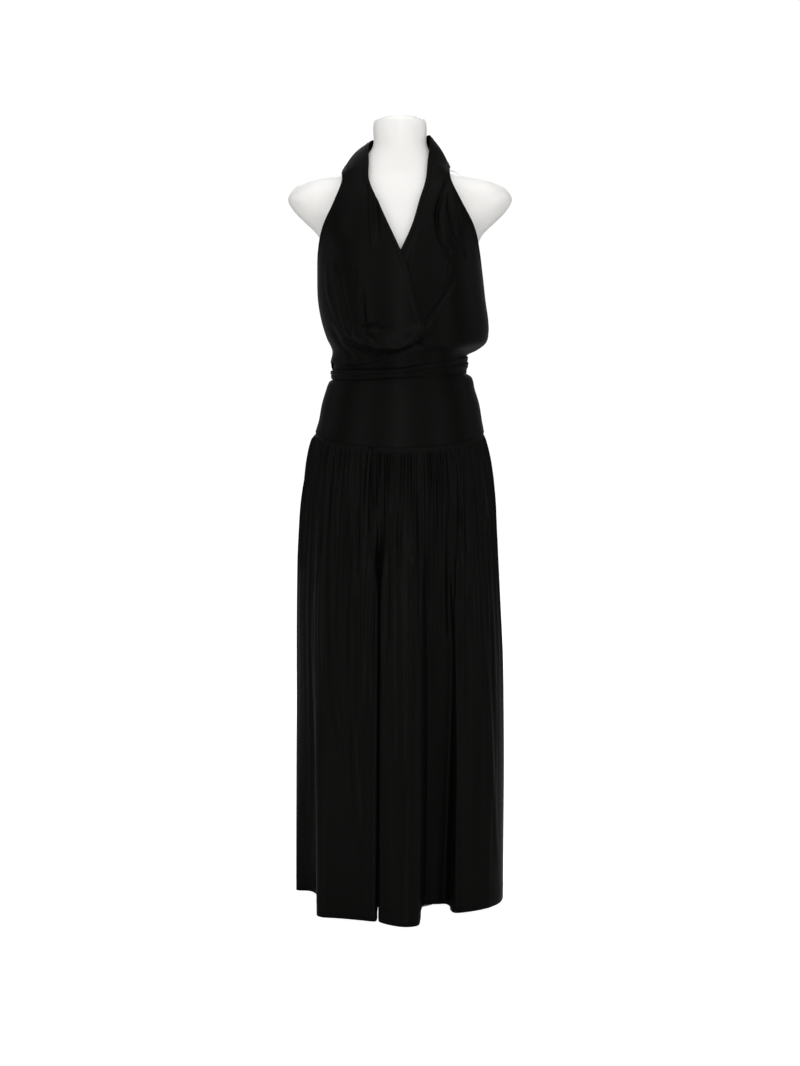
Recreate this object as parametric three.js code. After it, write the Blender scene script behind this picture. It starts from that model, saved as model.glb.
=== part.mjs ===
// A black jersey halter-neck maxi dress on a limbless dress form.
// Millimetres. +Z is up, the front of the dress faces -Y, and the origin is on the floor
// under the middle of the form's base. "Left" and "right" in the tables are -X and +X.
import * as THREE from "three";

// Driving dimensions
const CLOTH = 1.4; // wall of the cloth
const SEAM_GAP = 0.3; // between two pieces that are sewn together
const FORM_FRONT_SHIFT = -25; // the garment's middle plane stands this far in front of the pole
const LAYER = 6; // the panel below lies this far inside the panel above
const LAYER_FADE_START = 14; // degrees right of the centre front where that depth starts to fade
const LAYER_FADE = 26; // degrees over which it fades
const HEM_HEIGHT = 12;
const SEAM_HEIGHT_SIDE = 857; // seam of yoke and skirt at the side seams
const SEAM_DIP_FRONT = 26; // how much lower that seam is at the centre front
const SEAM_DIP_BACK = 8;
const SEAM_DIP_POWER = 1.4; // how sharply the front dip rises to the sides
const YOKE_TOP = 966.5; // waist seam, under the sash
const QUARTER = Math.PI / 2;

const BASE_RADIUS = 90;
const BASE_THICKNESS = 7;
const POLE_RADIUS = 12;
const TORSO_BOTTOM = 683;

const GATHERS_PER_HALF = 48; // gathers of the skirt, front and back each
const GATHER_HEIGHT = 1.9;
const GATHER_FADE = 300; // length over which the gathers die out
const FOLD_GROWTH = 1.25; // power by which the deep folds open towards the hem
const HEM_HALF_WIDTH = 191;
const SWING_TOP = 0.4; // share of "straight above" against "evenly gathered" at the seam
const SWING_HEM = 0.94; // the same from SWING_REACH of the skirt's length downwards
const SWING_REACH = 0.35;
const SEAM_FADE = 6; // columns over which the small folds fade towards a side seam
const CURVE_STEPS = 60; // steps between two rows of the hem table

// Depth of the sections at the side seams, which turns a seam's gap into an angle
const SIDE_SEAM_DEPTH = { bodice: 97, yoke: 90, skirt: 107 };

// Half widths and depths of the form at each height. "chest" is the trunk without the
// shoulder caps, and the caps are lumps of capWidth by capDepth at its ends.
const formSections = [
  { z: 1412, side: 34, chest: 34, capWidth: 0, capDepth: 0, front: 32, back: 34 },
  { z: 1406, side: 44, chest: 44, capWidth: 0, capDepth: 0, front: 42, back: 44 },
  { z: 1394, side: 47, chest: 47, capWidth: 0, capDepth: 0, front: 45, back: 47 },
  { z: 1361, side: 48, chest: 48, capWidth: 0, capDepth: 0, front: 46, back: 48 },
  { z: 1340, side: 63, chest: 63, capWidth: 0, capDepth: 0, front: 48, back: 53 },
  { z: 1320, side: 88, chest: 88, capWidth: 0, capDepth: 0, front: 52, back: 60 },
  { z: 1309, side: 132, chest: 102, capWidth: 40, capDepth: 20, front: 55, back: 66 },
  { z: 1302, side: 165, chest: 114, capWidth: 50, capDepth: 30, front: 58, back: 70 },
  { z: 1285, side: 188, chest: 128, capWidth: 52, capDepth: 42, front: 66, back: 78 },
  { z: 1268, side: 198, chest: 136, capWidth: 52, capDepth: 47, front: 74, back: 83 },
  { z: 1247, side: 187, chest: 140, capWidth: 46, capDepth: 44, front: 82, back: 87 },
  { z: 1228, side: 168, chest: 141, capWidth: 36, capDepth: 36, front: 89, back: 90 },
  { z: 1206, side: 146, chest: 139, capWidth: 28, capDepth: 24, front: 96, back: 92 },
  { z: 1180, side: 136, chest: 136, capWidth: 20, capDepth: 4, front: 102, back: 92 },
  { z: 1135, side: 133, chest: 133, capWidth: 0, capDepth: 0, front: 108, back: 88 },
  { z: 1092, side: 127, chest: 127, capWidth: 0, capDepth: 0, front: 106, back: 82 },
  { z: 1036, side: 115, chest: 115, capWidth: 0, capDepth: 0, front: 95, back: 74 },
  { z: 995, side: 108, chest: 108, capWidth: 0, capDepth: 0, front: 84, back: 70 },
  { z: 962, side: 107, chest: 107, capWidth: 0, capDepth: 0, front: 80, back: 71 },
  { z: 930, side: 117, chest: 117, capWidth: 0, capDepth: 0, front: 84, back: 78 },
  { z: 880, side: 136, chest: 136, capWidth: 0, capDepth: 0, front: 92, back: 92 },
  { z: 830, side: 148, chest: 148, capWidth: 0, capDepth: 0, front: 98, back: 100 },
  { z: 770, side: 152, chest: 152, capWidth: 0, capDepth: 0, front: 100, back: 102 },
  { z: 715, side: 148, chest: 148, capWidth: 0, capDepth: 0, front: 95, back: 95 },
  { z: 693, side: 138, chest: 138, capWidth: 0, capDepth: 0, front: 86, back: 85 },
  { z: 683, side: 118, chest: 118, capWidth: 0, capDepth: 0, front: 70, back: 68 },
];

// Half widths and depths of the bodice cloth, with its blouse over the sash at the right
const bodiceSections = [
  { z: 1293, left: 142, right: 138, front: 71, back: 80 },
  { z: 1257, left: 160, right: 152, front: 90, back: 92 },
  { z: 1215, left: 157, right: 150, front: 103, back: 98 },
  { z: 1194, left: 151, right: 146, front: 108, back: 99 },
  { z: 1173, left: 146, right: 142.5, front: 112, back: 99 },
  { z: 1135, left: 146, right: 146, front: 119, back: 97 },
  { z: 1092, left: 145, right: 151, front: 122, back: 92 },
  { z: 1064, left: 141, right: 155.5, front: 121, back: 88 },
  { z: 1036, left: 133, right: 157, front: 118, back: 84 },
  { z: 1022, left: 128.5, right: 155, front: 115, back: 82 },
  { z: 1010, left: 123, right: 147, front: 111, back: 81 },
  { z: 1004, left: 120.5, right: 136, front: 108, back: 80 },
  { z: 999, left: 119, right: 122, front: 105, back: 80 },
  { z: 990, left: 121, right: 118, front: 100, back: 79.5 },
  { z: 980, left: 123.5, right: 118, front: 97, back: 79 },
  { z: 964, left: 122, right: 117, front: 94, back: 79 },
];

const yokeSections = [
  { z: 972, left: 115, right: 115, front: 86, back: 78 },
  { z: 962, left: 116, right: 118.5, front: 87, back: 80 },
  { z: 958, left: 116.5, right: 126, front: 88, back: 81 },
  { z: 952.5, left: 118.2, right: 126, front: 90, back: 83 },
  { z: 949.5, left: 119.6, right: 131, front: 91, back: 84.5 },
  { z: 945, left: 127.5, right: 131.8, front: 92, back: 86 },
  { z: 936, left: 131.5, right: 133.5, front: 94, back: 89 },
  { z: 908, left: 140, right: 142, front: 99, back: 97 },
  { z: 879, left: 145.5, right: 147, front: 103, back: 104 },
  { z: 857, left: 152, right: 151, front: 106, back: 109 },
  { z: 826, left: 156, right: 154, front: 108, back: 113 },
];

// The skirt without its deep folds
const skirtSections = [
  { z: 857, left: 152, right: 151, front: 107, back: 109 },
  { z: 843, left: 157.5, right: 155.5, front: 109, back: 115 },
  { z: 826, left: 162, right: 160, front: 112, back: 119 },
  { z: 790, left: 168, right: 166, front: 120, back: 124 },
  { z: 735, left: 175, right: 171, front: 129, back: 132 },
  { z: 681, left: 179, right: 174, front: 136, back: 138 },
  { z: 626, left: 183, right: 177, front: 141, back: 143 },
  { z: 553, left: 186, right: 181, front: 147, back: 147 },
  { z: 461, left: 188, right: 186, front: 152, back: 150 },
  { z: 369, left: 188, right: 188, front: 156, back: 152 },
  { z: 238, left: 189, right: 189, front: 160, back: 152 },
  { z: 12, left: 190, right: 188, front: 163, back: 150 },
];

// The hem in plan, from the left side seam round the front to the right one and round the
// back to the left one again
const hemFolds = [
  { fold: "left seam", x: -190, y: 20 },
  { fold: "first fold", x: -191, y: 0 },
  { fold: "first fold inner end", x: -165, y: -6 },
  { fold: "second fold flank", x: -153, y: -40 },
  { fold: "second fold flank, middle", x: -147, y: -110 },
  { fold: "second fold corner", x: -139, y: -136 },
  { fold: "second fold", x: -105, y: -147 },
  { fold: "second fold middle", x: -75, y: -154 },
  { fold: "second fold inner corner", x: -45, y: -161 },
  { fold: "slit, near edge", x: -41.5, y: -150 },
  { fold: "slit, near side", x: -41, y: -116 },
  { fold: "slit bottom", x: -38.5, y: -84 },
  { fold: "slit, far side", x: -36, y: -116 },
  { fold: "slit, far edge", x: -35.5, y: -150 },
  { fold: "third fold corner", x: -33, y: -166 },
  { fold: "third fold", x: -3, y: -186 },
  { fold: "third fold crest", x: 17, y: -188 },
  { fold: "third fold outer corner", x: 31, y: -181 },
  { fold: "third fold flank", x: 36, y: -150 },
  { fold: "third fold flank, middle", x: 38, y: -104 },
  { fold: "recess corner", x: 44, y: -75 },
  { fold: "recess", x: 68, y: -66 },
  { fold: "recess outer corner", x: 82, y: -64 },
  { fold: "fourth fold flank", x: 88.5, y: -78 },
  { fold: "fourth fold flank, middle", x: 90, y: -106 },
  { fold: "fourth fold corner", x: 97, y: -119 },
  { fold: "fourth fold", x: 131, y: -110 },
  { fold: "fourth fold bend", x: 157, y: -94 },
  { fold: "fourth fold outer bend", x: 179, y: -69 },
  { fold: "fourth fold end", x: 187, y: -42 },
  { fold: "right seam", x: 188, y: -6 },
  { fold: "hollow behind the seam", x: 180, y: 46 },
  { fold: "back right fold", x: 191, y: 112 },
  { fold: "back right corner", x: 166, y: 142 },
  { fold: "first back hollow", x: 136, y: 112 },
  { fold: "second back fold", x: 110, y: 150 },
  { fold: "second back fold end", x: 72, y: 160 },
  { fold: "second back hollow", x: 46, y: 118 },
  { fold: "middle back fold", x: 22, y: 152 },
  { fold: "middle back fold end", x: -22, y: 160 },
  { fold: "third back hollow", x: -44, y: 112 },
  { fold: "fourth back fold", x: -72, y: 150 },
  { fold: "fourth back fold end", x: -112, y: 152 },
  { fold: "fourth back hollow", x: -136, y: 108 },
  { fold: "back left corner", x: -164, y: 136 },
  { fold: "back left fold", x: -187, y: 104 },
  { fold: "hollow before the seam", x: -180, y: 62 },
];
const RIGHT_SEAM_ROW = 30; // the row above named right seam

// Each bodice panel is a stack of sections from the back of the neck down to its lower edge.
// The strap's sections are straight between two points.
const rightStrap = [
  { inner: [-0.2, 49.3, 1376], outer: [-0.2, 61, 1332] },
  { inner: [-36, 40, 1377], outer: [-54, 52, 1328] },
  { inner: [-53, 2, 1368], outer: [-95, 8, 1323] },
  { inner: [-54, -45, 1325], outer: [-101, -36, 1309] },
];
const leftStrap = [
  { inner: [0.2, 49.3, 1376], outer: [0.2, 61, 1332] },
  { inner: [36, 40, 1381], outer: [54, 52, 1328] },
  { inner: [53, 2, 1379], outer: [86, 8, 1327] },
  { inner: [48, -45, 1330], outer: [86, -38, 1312] },
];

// Below the strap a section runs from its outer end (armhole, then side seam) to its inner
// end (neckline, then wrapped edge). Angles are in degrees from the centre front, + to the
// right. "bend" keeps a section low for longer before it climbs to its inner end.
const rightPanel = [
  { outerAngle: -45.2, outerZ: 1293, innerAngle: -22, innerZ: 1293, bend: 1 },
  { outerAngle: -45.4, outerZ: 1257, innerAngle: -14, innerZ: 1257, bend: 1 },
  { outerAngle: -58.6, outerZ: 1215, innerAngle: -7, innerZ: 1213, bend: 1 },
  { outerAngle: -82, outerZ: 1173, innerAngle: 0.5, innerZ: 1169, bend: 1 },
  { outerAngle: -90, outerZ: 1135, innerAngle: 10, innerZ: 1124, bend: 1 },
  { outerAngle: -90, outerZ: 1092, innerAngle: 16, innerZ: 1090, bend: 1 },
  { outerAngle: -90, outerZ: 1056, innerAngle: 19, innerZ: 1060, bend: 1.3 },
  { outerAngle: -90, outerZ: 1026, innerAngle: 17, innerZ: 1036, bend: 1.7 },
  { outerAngle: -90, outerZ: 1002, innerAngle: 16, innerZ: 1025, bend: 2.2 },
  { outerAngle: -90, outerZ: 979, innerAngle: 15, innerZ: 1014, bend: 2.6 },
];
const leftPanel = [
  { outerAngle: 40.2, outerZ: 1293, innerAngle: 19, innerZ: 1293, bend: 1 },
  { outerAngle: 44.3, outerZ: 1257, innerAngle: 13, innerZ: 1257, bend: 1 },
  { outerAngle: 59.2, outerZ: 1215, innerAngle: 8, innerZ: 1213, bend: 1 },
  { outerAngle: 80, outerZ: 1173, innerAngle: 0, innerZ: 1168, bend: 1 },
  { outerAngle: 90, outerZ: 1135, innerAngle: -10, innerZ: 1124, bend: 1 },
  { outerAngle: 90, outerZ: 1092, innerAngle: -22, innerZ: 1086, bend: 1 },
  { outerAngle: 90, outerZ: 1056, innerAngle: -36, innerZ: 1052, bend: 1 },
  { outerAngle: 90, outerZ: 1036, innerAngle: -54, innerZ: 1026, bend: 1 },
  { outerAngle: 90, outerZ: 1018, innerAngle: -76, innerZ: 1004, bend: 1 },
  { outerAngle: 90, outerZ: 1005, innerAngle: -90, innerZ: 984, bend: 0.7 },
];

// Folds seen from the front: from the first point to the last, height out of the cloth
// (negative is a trough) and half width.
const rightPanelFolds = [
  { path: [[-53, 1293], [-48, 1240], [-46, 1176]], height: 3, width: 5 },
  { path: [[-46, 1290], [-44, 1210]], height: -2.5, width: 4 },
  { path: [[-115, 1133], [-105, 1072], [-92, 1020]], height: 5, width: 7 },
  { path: [[-73, 1130], [-71, 1086], [-57, 1008]], height: 5, width: 7 },
  { path: [[-92, 1120], [-88, 1062], [-76, 1018]], height: -3, width: 7 },
  { path: [[-60, 1036], [-22, 1031]], height: -3, width: 4 },
  { path: [[-50, 1024], [-40, 1012]], height: -4, width: 3.5 },
  { path: [[-56, 1024], [-20, 1013], [14, 1013], [32, 1026]], height: 12, width: 13 },
  { path: [[-90, 1019], [-68, 1006], [-41, 999], [-15, 1002], [12, 1003]], height: -12, width: 6 },
  { path: [[-86, 990], [-50, 986], [-20, 992]], height: 4, width: 7 },
  { path: [[-120, 1040], [-102, 1008], [-80, 984]], height: -4, width: 5 },
  { path: [[-112, 1020], [-90, 992]], height: 3, width: 6 },
];
const leftPanelFolds = [
  { path: [[82, 1285], [62, 1234], [84, 1171]], height: -3, width: 5 },
  { path: [[76, 1240], [86, 1180]], height: 4, width: 5 },
  { path: [[84, 1276], [90, 1216], [112, 1163]], height: -3, width: 5 },
  { path: [[34, 1205], [30, 1160]], height: 3, width: 5 },
  { path: [[86, 1148], [72, 1104]], height: 4, width: 6 },
  { path: [[90, 1116], [66, 1082], [50, 1056], [42, 1036]], height: -5, width: 6 },
  { path: [[60, 1012], [84, 1006], [112, 1010]], height: 5, width: 10 },
  { path: [[-100, 1022], [-68, 1005], [-41, 999], [-15, 1002], [24, 1006]], height: -9, width: 13 },
];
const skirtFrontFolds = [
  { path: [[-112, 730], [-116, 560]], height: 5, width: 9 },
  { path: [[-82, 800], [-84, 640]], height: 4, width: 7 },
  { path: [[-63, 800], [-62, 660]], height: 4, width: 6 },
  { path: [[-49, 760], [-47, 600]], height: -5, width: 6 },
  { path: [[-36, 800], [-34, 640]], height: 4, width: 6 },
  { path: [[-22, 780], [-22, 640]], height: -4, width: 5 },
  { path: [[-5, 800], [-6, 620]], height: 4, width: 6 },
  { path: [[29, 760], [20, 480], [13, 160]], height: 7, width: 9 },
  { path: [[60, 790], [60, 640]], height: 4, width: 6 },
  { path: [[84, 760], [86, 480]], height: -6, width: 8 },
  { path: [[96, 790], [98, 620]], height: 4, width: 7 },
  { path: [[118, 800], [120, 620]], height: 4, width: 7 },
  { path: [[-118, 470], [-106, 280]], height: 6, width: 10 },
  { path: [[-84, 360], [-76, 150]], height: 6, width: 10 },
  { path: [[-48, 520], [-46, 380]], height: -5, width: 8 },
];
const skirtBackFolds = [
  { path: [[-110, 740], [-116, 560]], height: 5, width: 9 },
  { path: [[-70, 800], [-74, 620]], height: 4, width: 7 },
  { path: [[-42, 780], [-40, 560]], height: -5, width: 7 },
  { path: [[-14, 790], [-8, 420]], height: 6, width: 9 },
  { path: [[26, 780], [30, 600]], height: -4, width: 6 },
  { path: [[52, 790], [54, 520]], height: 5, width: 8 },
  { path: [[92, 760], [96, 500]], height: -5, width: 8 },
  { path: [[118, 790], [124, 600]], height: 4, width: 8 },
];

// The two stretches of the wound sash: edge heights at each angle from the centre front
const sashEdges = [
  { angle: -180, top: 981, middle: 968, bottom: 955 },
  { angle: -135, top: 974, middle: 964, bottom: 953 },
  { angle: -90, top: 967.6, middle: 960, bottom: 952 },
  { angle: -45, top: 967.4, middle: 957.5, bottom: 950 },
  { angle: 0, top: 969.4, middle: 960.5, bottom: 953.5 },
  { angle: 28, top: 979.5, middle: 967, bottom: 956 },
  { angle: 50, top: 987.5, middle: 973, bottom: 959 },
  { angle: 90, top: 993.4, middle: 981, bottom: 961.5 },
  { angle: 135, top: 988, middle: 974, bottom: 958 },
  { angle: 180, top: 981, middle: 968, bottom: 955 },
];
const sashUpperSection = { left: 124, right: 121.5, front: 96.3, back: 88.5 };
const sashLowerSection = { left: 123, right: 125, front: 95.3, back: 88 };
const SASH_WALL = 3; // a folded stretch, thinner towards its edges
const SASH_ROUNDING = 2.2; // how far a stretch turns in at its edges
const SASH_EDGE = 0.96; // share of the full rounding that an edge reaches

const ARMHOLE_BOTTOM = 1135; // where armhole and low back meet at the side seams
const SIDE_SEAM_TOP = ARMHOLE_BOTTOM + 30; // below it a front panel keeps to its side seam
const BACK_EDGE_MIDDLE = 1036; // upper edge of the low back at its middle
const SCOOP_POWER = 0.7; // below 1 for a low back that is broad at its bottom
const BACK_CLEAR = 0.8; // height between the low back and the sash, besides the gap
const PANEL_CLEAR = 0.5; // the same for the panel underneath

const radians = (degrees) => (degrees * Math.PI) / 180;
const smooth = (t) => t * t * (3 - 2 * t);
const clamp01 = (t) => Math.min(1, Math.max(0, t));

// Value of a named column at a height (or another key), smooth through the table's rows
function column(rows, key, at, name) {
  const rising = rows[rows.length - 1][key] > rows[0][key] ? 1 : -1;
  let k = 0;
  while (k < rows.length - 2 && rising * (at - rows[k + 1][key]) > 0) k += 1;
  const before = rows[Math.max(0, k - 1)];
  const a = rows[k];
  const b = rows[k + 1];
  const after = rows[Math.min(rows.length - 1, k + 2)];
  const span = b[key] - a[key];
  const t = clamp01((at - a[key]) / span);
  const slopeA = before === a ? 0 : (b[name] - before[name]) / (b[key] - before[key]);
  const slopeB = after === b ? 0 : (after[name] - a[name]) / (after[key] - a[key]);
  const t2 = t * t;
  const t3 = t2 * t;
  return (
    (2 * t3 - 3 * t2 + 1) * a[name] +
    (t3 - 2 * t2 + t) * span * slopeA +
    (3 * t2 - 2 * t3) * b[name] +
    (t3 - t2) * span * slopeB
  );
}

// Point of an egg-shaped section: its own half width at each side, its own depth in front
// and behind
function ringPoint(section, angle, z) {
  const s = Math.sin(angle);
  const c = Math.cos(angle);
  const across = s < 0 ? section.left : section.right;
  const deep = c > 0 ? section.front : section.back;
  return new THREE.Vector3(across * s, FORM_FRONT_SHIFT - deep * c, z);
}

function sectionAt(rows, z) {
  return {
    left: column(rows, "z", z, "left"),
    right: column(rows, "z", z, "right"),
    front: column(rows, "z", z, "front"),
    back: column(rows, "z", z, "back"),
  };
}

const insetSection = (section, by) => ({
  left: section.left - by,
  right: section.right - by,
  front: section.front - by,
  back: section.back - by,
});

// Unit normals of a grid whose rows run down and whose columns run to the right when it is
// seen from outside
function gridNormals(grid, closed) {
  const rows = grid.length;
  const cols = grid[0].length;
  const down = new THREE.Vector3();
  const along = new THREE.Vector3();
  return grid.map((row, i) =>
    row.map((_, j) => {
      const left = closed ? (j + cols - 1) % cols : Math.max(0, j - 1);
      const right = closed ? (j + 1) % cols : Math.min(cols - 1, j + 1);
      down.subVectors(grid[Math.min(rows - 1, i + 1)][j], grid[Math.max(0, i - 1)][j]);
      along.subVectors(row[right], row[left]);
      return new THREE.Vector3().crossVectors(down, along).normalize();
    }),
  );
}

const moved = (grid, normals, by) =>
  grid.map((row, i) =>
    row.map((p, j) => p.clone().addScaledVector(normals[i][j], by(i, j))),
  );

// A closed wall between an outer and an inner grid of points
function wallGeometry(outer, inner, closed) {
  const rows = outer.length;
  const cols = outer[0].length;
  const positions = [...outer.flat(), ...inner.flat()].flatMap((p) => [p.x, p.y, p.z]);
  const out = (i, j) => i * cols + (j % cols);
  const inn = (i, j) => rows * cols + out(i, j);
  const index = [];
  const quad = (a, b, c, d) => index.push(a, b, c, a, c, d);
  const spans = closed ? cols : cols - 1;
  for (let j = 0; j < spans; j += 1) {
    for (let i = 0; i < rows - 1; i += 1) {
      quad(out(i, j), out(i + 1, j), out(i + 1, j + 1), out(i, j + 1));
      quad(inn(i, j), inn(i, j + 1), inn(i + 1, j + 1), inn(i + 1, j));
    }
    quad(out(0, j), out(0, j + 1), inn(0, j + 1), inn(0, j));
    quad(out(rows - 1, j + 1), out(rows - 1, j), inn(rows - 1, j), inn(rows - 1, j + 1));
  }
  if (!closed) {
    const end = cols - 1;
    for (let i = 0; i < rows - 1; i += 1) {
      quad(out(i + 1, 0), out(i, 0), inn(i, 0), inn(i + 1, 0));
      quad(out(i, end), out(i + 1, end), inn(i + 1, end), inn(i, end));
    }
  }
  const geometry = new THREE.BufferGeometry();
  geometry.setAttribute("position", new THREE.Float32BufferAttribute(positions, 3));
  geometry.setIndex(index);
  geometry.computeVertexNormals();
  return geometry;
}

// Distance in the front view from a point to a fold's line, and how far along the line the
// nearest place is, from 0 to 1
function nearestOnPath(path, x, z) {
  let best = Infinity;
  let along = 0;
  const lengths = path.slice(1).map((p, k) => Math.hypot(p[0] - path[k][0], p[1] - path[k][1]));
  const total = lengths.reduce((sum, length) => sum + length, 0);
  let passed = 0;
  lengths.forEach((length, k) => {
    const [ax, az] = path[k];
    const ux = (path[k + 1][0] - ax) / length;
    const uz = (path[k + 1][1] - az) / length;
    const t = Math.min(length, Math.max(0, (x - ax) * ux + (z - az) * uz));
    const d = Math.hypot(x - ax - ux * t, z - az - uz * t);
    if (d < best) {
      best = d;
      along = (passed + t) / total;
    }
    passed += length;
  });
  return { distance: best, along };
}

// Sum of the folds at a place of the front view: each is a rounded ridge or trough that is
// full in its middle and fades to its ends
function foldHeight(folds, x, z) {
  return folds.reduce((sum, fold) => {
    const { distance, along } = nearestOnPath(fold.path, x, z);
    const fade = 0.35 + 0.65 * Math.sin(Math.PI * along);
    return sum + fold.height * fade * Math.exp(-((distance / fold.width) ** 2));
  }, 0);
}

const colours = { cloth: 0x111110, form: 0xeeeae4, steel: 0xb9bcc0 };

function namedMesh(name, geometry, colour, roughness, metalness) {
  const material = new THREE.MeshStandardMaterial({ color: colour, roughness, metalness });
  const mesh = new THREE.Mesh(geometry, material);
  mesh.name = name;
  return mesh;
}
const clothMesh = (name, geometry) => namedMesh(name, geometry, colours.cloth, 0.85, 0);

// Form

// Point of the form's section: the trunk's half ellipse and the shoulder cap's, blended
function formPoint(z, angle) {
  const get = (name) => column(formSections, "z", z, name);
  const side = get("side");
  const chest = get("chest");
  const capWidth = get("capWidth");
  const x = side * Math.sin(angle);
  const facing = Math.cos(angle);
  const trunk = Math.sqrt(Math.max(0, 1 - (x / chest) ** 2)) * get(facing > 0 ? "front" : "back");
  const capAt = capWidth > 1 ? (Math.abs(x) - (side - capWidth)) / capWidth : 1;
  const cap = Math.abs(capAt) < 1 ? get("capDepth") * Math.sqrt(1 - capAt * capAt) : 0;
  const depth = Math.cbrt(trunk ** 3 + cap ** 3);
  return new THREE.Vector3(x, FORM_FRONT_SHIFT - Math.sign(facing) * depth, z);
}

// A solid skinned over closed sections, with a flat fan at each end
function skinnedSolid(sections) {
  const cols = sections[0].length;
  const last = sections.length - 1;
  const middle = (row) => {
    const sum = row.reduce((total, p) => total.add(p), new THREE.Vector3());
    return sum.divideScalar(cols);
  };
  const points = [...sections.flat(), middle(sections[0]), middle(sections[last])];
  const top = points.length - 2;
  const bottom = points.length - 1;
  const at = (i, j) => i * cols + (j % cols);
  const index = [];
  for (let j = 0; j < cols; j += 1) {
    for (let i = 0; i < last; i += 1) {
      index.push(at(i, j), at(i + 1, j), at(i + 1, j + 1));
      index.push(at(i, j), at(i + 1, j + 1), at(i, j + 1));
    }
    index.push(top, at(0, j), at(0, j + 1));
    index.push(bottom, at(last, j + 1), at(last, j));
  }
  const geometry = new THREE.BufferGeometry();
  const positions = points.flatMap((p) => [p.x, p.y, p.z]);
  geometry.setAttribute("position", new THREE.Float32BufferAttribute(positions, 3));
  geometry.setIndex(index);
  geometry.computeVertexNormals();
  return geometry;
}

function formTorso() {
  const around = 36;
  const sections = formSections.map(({ z }) =>
    Array.from({ length: around }, (_, j) => {
      const angle = ((j + 0.5) * 2 * Math.PI) / around - Math.PI;
      return formPoint(z, angle);
    }),
  );
  return namedMesh("form_torso", skinnedSolid(sections), colours.form, 0.35, 0);
}

function formPole() {
  const bottom = BASE_THICKNESS + SEAM_GAP;
  const top = TORSO_BOTTOM - SEAM_GAP;
  const pole = new THREE.CylinderGeometry(POLE_RADIUS, POLE_RADIUS, top - bottom, 24);
  pole.rotateX(QUARTER);
  pole.translate(0, 0, (top + bottom) / 2);
  return namedMesh("form_pole", pole, colours.steel, 0.3, 1);
}

function formBase() {
  const chamfer = 2;
  const profile = [
    [0, 0],
    [BASE_RADIUS, 0],
    [BASE_RADIUS, BASE_THICKNESS - chamfer],
    [BASE_RADIUS - chamfer, BASE_THICKNESS],
    [0, BASE_THICKNESS],
  ].map(([radius, height]) => new THREE.Vector2(radius, height));
  const base = new THREE.LatheGeometry(profile, 48);
  base.rotateX(QUARTER);
  return namedMesh("form_base", base, colours.steel, 0.3, 1);
}

// Bodice

// Points of one section across a panel, from left to right as seen from the front
function panelSection(row, columns, inset) {
  return Array.from({ length: columns + 1 }, (_, j) => {
    const t = j / columns;
    const angle = radians(row.outerAngle + (row.innerAngle - row.outerAngle) * t);
    const z = row.outerZ + (row.innerZ - row.outerZ) * t ** row.bend;
    return ringPoint(insetSection(sectionAt(bodiceSections, z), inset(angle)), angle, z);
  });
}

// The lower edge of the panel underneath lies along the sash from side seam to side seam
function edgeOnSash(columns, inset) {
  return Array.from({ length: columns + 1 }, (_, j) => {
    const degrees = 90 - (180 * j) / columns;
    const angle = radians(degrees);
    const z = column(sashEdges, "angle", degrees, "top") + SEAM_GAP + PANEL_CLEAR;
    return ringPoint(insetSection(sectionAt(bodiceSections, z), inset(angle)), angle, z);
  });
}

function strapSection(row, columns) {
  const outer = new THREE.Vector3(...row.outer);
  const inner = new THREE.Vector3(...row.inner);
  return Array.from({ length: columns + 1 }, (_, j) => {
    const p = new THREE.Vector3().lerpVectors(outer, inner, j / columns);
    p.y += FORM_FRONT_SHIFT;
    return p;
  });
}

// Below the armhole a front panel ends at the side seam
function notPastSideSeam(point) {
  if (point.z < SIDE_SEAM_TOP) point.y = Math.min(point.y, FORM_FRONT_SHIFT - SEAM_GAP / 2);
  return point;
}

// A front panel with its strap. Every column is a smooth curve through the sections.
function frontPanel({ name, strap, panel, folds, inset, mirrored, onSash }) {
  const columns = 20;
  const rows = 24;
  const sections = [
    ...strap.map((row) => strapSection(row, columns)),
    ...panel.map((row) => panelSection(row, columns, inset)),
  ];
  if (onSash) sections.push(edgeOnSash(columns, inset));
  if (mirrored) sections.forEach((section) => section.reverse());
  const lines = sections[0].map(
    (_, j) => new THREE.CatmullRomCurve3(sections.map((section) => section[j]), false, "centripetal"),
  );
  const grid = Array.from({ length: rows + 1 }, (_, i) =>
    lines.map((line) => notPastSideSeam(line.getPoint(i / rows))),
  );
  const normals = gridNormals(grid, false);
  const middle = moved(grid, normals, (i, j) => {
    const { x, z } = grid[i][j];
    return foldHeight(folds, x, z);
  });
  const half = () => CLOTH / 2;
  const outer = moved(middle, normals, half);
  const inner = moved(middle, normals, () => -half());
  return clothMesh(name, wallGeometry(outer, inner, false));
}

// The panel underneath lies inside the other one on its side of the centre front
function underInset(angle) {
  const past = (angle - radians(LAYER_FADE_START)) / radians(LAYER_FADE);
  return LAYER * (1 - smooth(clamp01(past)));
}

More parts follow.
